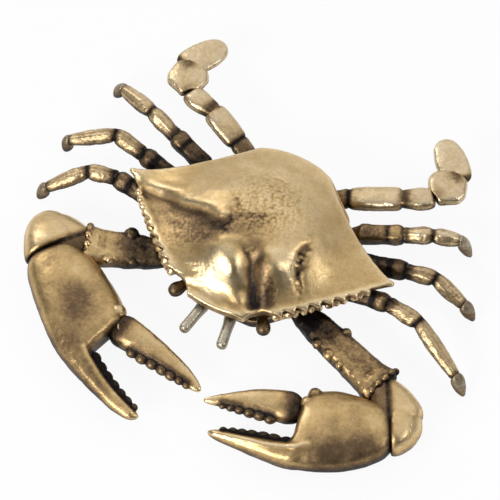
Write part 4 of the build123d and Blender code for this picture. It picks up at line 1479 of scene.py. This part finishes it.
def right_claw() -> Claw:
    """The larger claw, at the crab's right.

    Returns:
        The claw.
    """
    return Claw(
        side=Side.RIGHT,
        palm_length=15.2,
        finger_offset=5.2,
        finger_opening=31.0,
        arm_width=3.7,
        cap=outlines(
            (-16.0, 0.2, 2.4, 0.9), (-15.3, -1.4, 4.0, 2.1), (-13.6, -3.2, 5.6, 3.3), (-11.2, -4.6, 6.4, 4.1),
            (-9.0, -5.5, 6.6, 4.4), (-7.6, -5.9, 6.4, 4.3), (-6.9, -5.4, 5.9, 3.7),
        ),
        palm=outlines(
            (-8.3, -2.2, 1.2, 1.7), (-7.6, -4.8, 3.4, 3.1), (-5.6, -6.5, 5.0, 3.95), (-2.0, -7.3, 6.7, 4.3),
            (2.6, -8.0, 7.6, 4.5), (7.3, -8.4, 7.9, 4.4), (11.4, -8.6, 7.9, 4.1), (13.2, -8.45, 7.2, 3.75),
            (14.6, -8.25, 4.6, 3.35), (16.0, -7.95, -1.4, 3.05), (17.8, -7.65, -2.4, 2.8),
            (20.0, -7.1, -2.4, 2.6), (23.4, -6.1, -2.1, 2.2), (26.8, -5.0, -1.5, 1.8),
            (30.0, -3.9, -0.6, 1.4), (32.6, -2.4, 0.5, 1.0), (33.9, -0.9, 0.4, 0.4),
        ),
        finger=outlines(
            (-2.3, -1.4, 1.4, 1.0), (-1.4, -2.8, 2.9, 2.3), (0.2, -3.5, 3.5, 2.75), (3.8, -3.1, 3.2, 2.5),
            (8.5, -2.9, 2.3, 2.0), (13.3, -2.9, 1.3, 1.5), (17.0, -3.1, 0.2, 1.0), (19.2, -3.1, -1.0, 0.7),
            (20.2, -2.7, -1.8, 0.35),
        ),
        fixed_teeth=(
            (18.4, -2.0, 0.9), (20.7, -2.0, 1.0), (23.1, -1.8, 1.0), (25.4, -1.4, 0.95), (27.6, -0.9, 0.85),
            (29.6, -0.3, 0.75), (31.4, 0.3, 0.6),
        ),
        finger_teeth=(
            (4.2, -2.9, 0.85), (6.5, -2.8, 0.95), (8.9, -2.7, 0.95), (11.2, -2.7, 0.9), (13.4, -2.75, 0.85),
            (15.4, -2.8, 0.7), (17.1, -2.9, 0.55),
        ),
        crest=((16.4, -3.6), (22.0, -3.2), (27.5, -2.2), (32.0, -0.8)),
        hollow=(7.2, -0.6, 3.4, 0.8),
        # hollow and outer edge darker; negative weights are painted highlights
        spots=(
            (6.8, -0.6, 4.4, 0.24), (0.2, 2.4, 2.6, -0.14), (11.6, 5.6, 2.0, -0.16), (13.0, -5.6, 3.6, 0.2),
            (20.0, -5.4, 4.0, 0.2), (26.0, -4.0, 3.0, 0.14),
        ),
        palm_knobs=((11.6, 5.9, 1.6, 1.9),),
        arm_knobs=((0.62, -1.0, 1.7), (0.58, 1.0, 1.0), (0.8, 1.0, 1.0)),
        arm_dark=0.82,
        arm_shade=-0.01,
    )


def left_claw() -> Claw:
    """The slimmer claw, at the crab's left.

    Returns:
        The claw.
    """
    return Claw(
        side=Side.LEFT,
        palm_length=13.2,
        finger_offset=4.4,
        finger_opening=9.0,
        arm_width=3.6,
        cap=outlines(
            (-12.2, -0.6, 2.2, 0.9), (-11.6, -2.2, 4.0, 2.1), (-10.4, -3.8, 5.2, 3.2), (-8.8, -5.0, 5.6, 3.9),
            (-7.3, -5.7, 5.4, 4.1), (-6.1, -5.9, 5.0, 3.9), (-5.5, -5.4, 4.5, 3.4),
        ),
        palm=outlines(
            (-6.8, -2.4, 0.8, 1.6), (-6.1, -4.8, 3.2, 2.9), (-4.4, -6.6, 4.8, 3.7), (-1.0, -8.0, 6.2, 4.1),
            (2.6, -8.8, 7.6, 4.2), (5.8, -9.1, 8.1, 4.1), (9.1, -8.9, 7.9, 3.9), (10.8, -8.75, 6.9, 3.6),
            (12.0, -8.6, 3.6, 3.2), (13.2, -8.4, -2.8, 2.9), (15.5, -7.9, -2.9, 2.7), (19.0, -6.5, -1.8, 2.3),
            (23.0, -4.6, -1.0, 1.8), (26.0, -3.1, -0.4, 1.4), (28.6, -1.7, 0.3, 1.0), (30.0, -0.7, 0.2, 0.4),
        ),
        finger=outlines(
            (-2.3, -1.4, 1.3, 1.0), (-1.4, -2.7, 2.9, 2.2), (0.2, -3.4, 3.4, 2.6), (2.9, -3.0, 3.5, 2.4),
            (7.0, -2.3, 3.3, 1.9), (11.3, -1.6, 2.2, 1.4), (14.4, -1.3, 1.2, 1.0), (16.6, -1.1, 0.3, 0.7),
            (17.6, -0.7, -0.1, 0.35),
        ),
        fixed_teeth=(
            (14.6, -2.7, 0.9), (16.9, -2.2, 1.0), (19.1, -1.6, 0.95), (21.2, -1.2, 0.9), (23.2, -0.8, 0.8),
            (25.0, -0.4, 0.7), (26.8, 0.0, 0.6),
        ),
        finger_teeth=(
            (4.0, -2.7, 0.85), (6.2, -2.2, 0.9), (8.3, -1.9, 0.85), (10.3, -1.6, 0.75), (12.1, -1.35, 0.65),
            (13.7, -1.25, 0.5),
        ),
        crest=((10.6, -4.6), (13.0, -5.0), (19.0, -4.0), (25.0, -1.9), (28.5, -0.7)),
        hollow=(4.6, -6.4, 1.8, 0.3),
        # lower edge and a knob darker; negative weights are painted highlights
        spots=(
            (-2.0, -5.6, 3.0, 0.22), (1.6, -6.4, 3.2, 0.2), (5.2, -6.8, 3.2, 0.2), (9.0, -7.4, 3.2, 0.22),
            (9.8, 2.2, 2.6, -0.2), (-3.0, -1.0, 2.2, -0.16), (8.8, 8.2, 1.4, 0.45),
        ),
        palm_knobs=((8.6, 6.9, 1.2, 1.5), (10.2, 4.8, 1.6, 1.6)),
        arm_knobs=((0.46, 1.0, 1.2), (0.58, 1.0, 1.3), (0.7, 1.0, 1.1), (0.54, -1.0, 1.3)),
        arm_dark=0.56,
        arm_shade=0.2,
    )


class Underside:
    """Belly plate, flap, frame, pins and screws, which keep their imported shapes."""

    cast: Sequence[str] = ("sternum", "abdomen_flap")
    plain: dict[str, AgedBrass] = {"thorax_frame": DARK, "hip_pins": DULL, "shell_screws": DULL}

    def build(self, frame: dict) -> None:
        """Cast the belly and age the rest.

        Args:
            frame: the loaded frame.
        """
        for node in self.cast:
            Casting(node, BODY, Bench.copy_node(frame, node), DARK).fuse(voxel=0.2).done()
        for name, node in frame["nodes"].items():
            brass = self.plain.get(name, DULL if name.endswith("_pin") else None)
            if brass:
                node.data.materials.clear()
                node.data.materials.append(brass.material())


@dataclass
class Studio:
    """White table, soft light and a long-lens camera above the crab's front left.

    Daylight is rows of how squarely a direction faces the window and its brightness; lamps are rows of name,
    place and size in metres, and power in watts.
    """

    azimuth: float = 26.5
    elevation: float = 62.0
    distance: float = 0.8
    fill: float = 0.9
    sensor: float = 36.0
    table: float = 6.0
    paper: tuple[float, float, float, float] = (0.88, 0.88, 0.88, 1.0)
    backlight: float = 0.92
    window: Triple = (-0.15, 0.55, 0.82)
    daylight: Line = ((0.0, 0.06), (0.3, 0.10), (0.62, 0.36), (0.86, 1.0))
    strength: float = 0.9
    lamps: Sequence[tuple[str, Triple, tuple[float, float], float]] = (
        ("key", (-0.24, -0.7, 0.5), (0.5, 0.24), 5.0),
        ("side", (-0.66, 0.24, 0.5), (0.3, 0.3), 1.0),
        ("rim", (0.66, 0.06, 0.56), (0.22, 0.22), 1.1),
    )

    def floor(self) -> None:
        """Lay the table, which looks as white in the picture and in the brass as lit paper."""
        Bench.clear()
        bpy.ops.mesh.primitive_plane_add(size=self.table)
        table = bpy.context.object
        table.name = "table"
        paper = bpy.data.materials.new("white_table")
        wiring = Wiring(paper)
        shader = wiring.nodes["Principled BSDF"]
        wiring.feed(shader, {"Base Color": self.paper, "Roughness": 0.8, "Specular IOR Level": 0.1})
        path = wiring.add("ShaderNodeLightPath", {}).outputs
        passed = wiring.reckon("ADD", path["Is Glossy Ray"], path["Is Transmission Ray"])
        seen = wiring.reckon("MAXIMUM", path["Is Camera Ray"], passed)
        lift = wiring.reckon("MULTIPLY", seen, self.backlight)
        glow = wiring.add("ShaderNodeEmission", {}).outputs["Emission"]
        mixed = wiring.add("ShaderNodeMixShader", {"Fac": lift, 1: shader.outputs["BSDF"], 2: glow})
        wiring.feed(wiring.nodes["Material Output"], {"Surface": mixed.outputs["Shader"]})
        table.data.materials.append(paper)

    def hang(self) -> None:
        """Hang the lamps, oblong soft lights that look at the crab."""
        for name, at, size, power in self.lamps:
            light = bpy.data.lights.new(name, "AREA")
            light.shape = "RECTANGLE"
            light.size, light.size_y = size
            light.energy = power
            holder = bpy.data.objects.new(name, light)
            bpy.context.scene.collection.objects.link(holder)
            holder.location = at
            holder.rotation_euler = (-Vector(at)).to_track_quat("-Z", "Y").to_euler()

    def room(self) -> None:
        """Fill the room with soft light from high up on one side, and make the horizon white."""
        world = bpy.data.worlds.new("room")
        bpy.context.scene.world = world
        wiring = Wiring(world)
        place = wiring.add("ShaderNodeTexCoord", {}).outputs["Generated"]
        sides = {0: place, 1: Vector(self.window).normalized()}
        facing = wiring.add("ShaderNodeVectorMath", sides, operation="DOT_PRODUCT").outputs["Value"]
        soft = wiring.ramp(facing, [(at, (grey, grey, grey * 1.01)) for at, grey in self.daylight])
        level = wiring.add("ShaderNodeSeparateXYZ", {"Vector": place}).outputs["Z"]
        horizon = {"Value": level, "From Min": 0.06, "From Max": 0.1, "To Min": 1.1, "To Max": 0.0}
        far = wiring.add("ShaderNodeMapRange", horizon).outputs["Result"]
        both = {"Factor": 1.0, "A": soft, "B": far}
        lit = wiring.add("ShaderNodeMix", both, data_type="RGBA", blend_type="LIGHTEN").outputs["Result"]
        wiring.feed(wiring.nodes["Background"], {"Color": lit, "Strength": self.strength})

    def camera(self, frame: dict) -> None:
        """Point the camera so that the crab fills the square picture.

        Args:
            frame: the loaded frame.
        """
        level, height = polar(1.0, self.elevation)
        x, y = polar(level, self.azimuth - 90.0)
        view = Vector((x, y, height))
        right = UP.cross(view).normalized()
        above = view.cross(right)
        points = np.concatenate([[v.co for v in node.data.vertices] for node in frame["nodes"].values()])
        u, v = points @ np.array(right), points @ np.array(above)
        depth = float(np.mean(points @ np.array(view)))
        middle = right * float(u.max() + u.min()) / 2 + above * float(v.max() + v.min()) / 2 + view * depth
        wide = max(float(np.ptp(u)), float(np.ptp(v))) / self.fill
        lens = bpy.data.cameras.new("long_lens")
        lens.sensor_width = self.sensor
        lens.lens = self.sensor * self.distance / wide
        holder = bpy.data.objects.new("long_lens", lens)
        bpy.context.scene.collection.objects.link(holder)
        holder.location = middle + view * self.distance
        holder.rotation_euler = Matrix((right, above, view)).transposed().to_euler()
        bpy.context.scene.camera = holder

    def build(self, frame: dict) -> None:
        """Set the stage.

        Args:
            frame: the loaded frame.
        """
        bpy.context.scene.view_settings.view_transform = "Standard"
        self.floor()
        self.room()
        self.hang()
        self.camera(frame)


def main() -> None:
    """Build the crab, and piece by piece."""
    logging.basicConfig(level=logging.INFO, format="%(name)s %(message)s")
    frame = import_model()
    bones = Skeleton(frame["joints"])
    for group in (Studio(), Shell(), Face(), Underside()):
        group.build(frame)
    for limb in (
        WalkingLeg(Side.RIGHT, 1, 5.6, 9.4, 18.0, 52.0, 42.0, 0.22),
        WalkingLeg(Side.RIGHT, 2, 6.6, 10.3, 2.0, 44.0, 60.0, 0.26),
        WalkingLeg(Side.RIGHT, 3, 6.7, 9.0, -2.0, 20.0, 55.0, 0.16),
        WalkingLeg(Side.LEFT, 1, 6.8, 13.0, 12.0, 37.0, 41.0, 0.2),
        WalkingLeg(Side.LEFT, 2, 5.6, 7.8, 4.0, 39.0, 32.0, 0.26),
        WalkingLeg(Side.LEFT, 3, 5.6, 5.6, -3.0, 20.0, 58.0, 0.0, root_soot=0.55),
        SwimmingLeg(Side.RIGHT, -12.0, 37.0, 62.0, 0.5),
        SwimmingLeg(Side.LEFT, 6.5, 52.5, 62.0, 0.36),
        right_claw(),
        left_claw(),
    ):
        limb.build(bones)


if __name__ == "__main__":
    main()
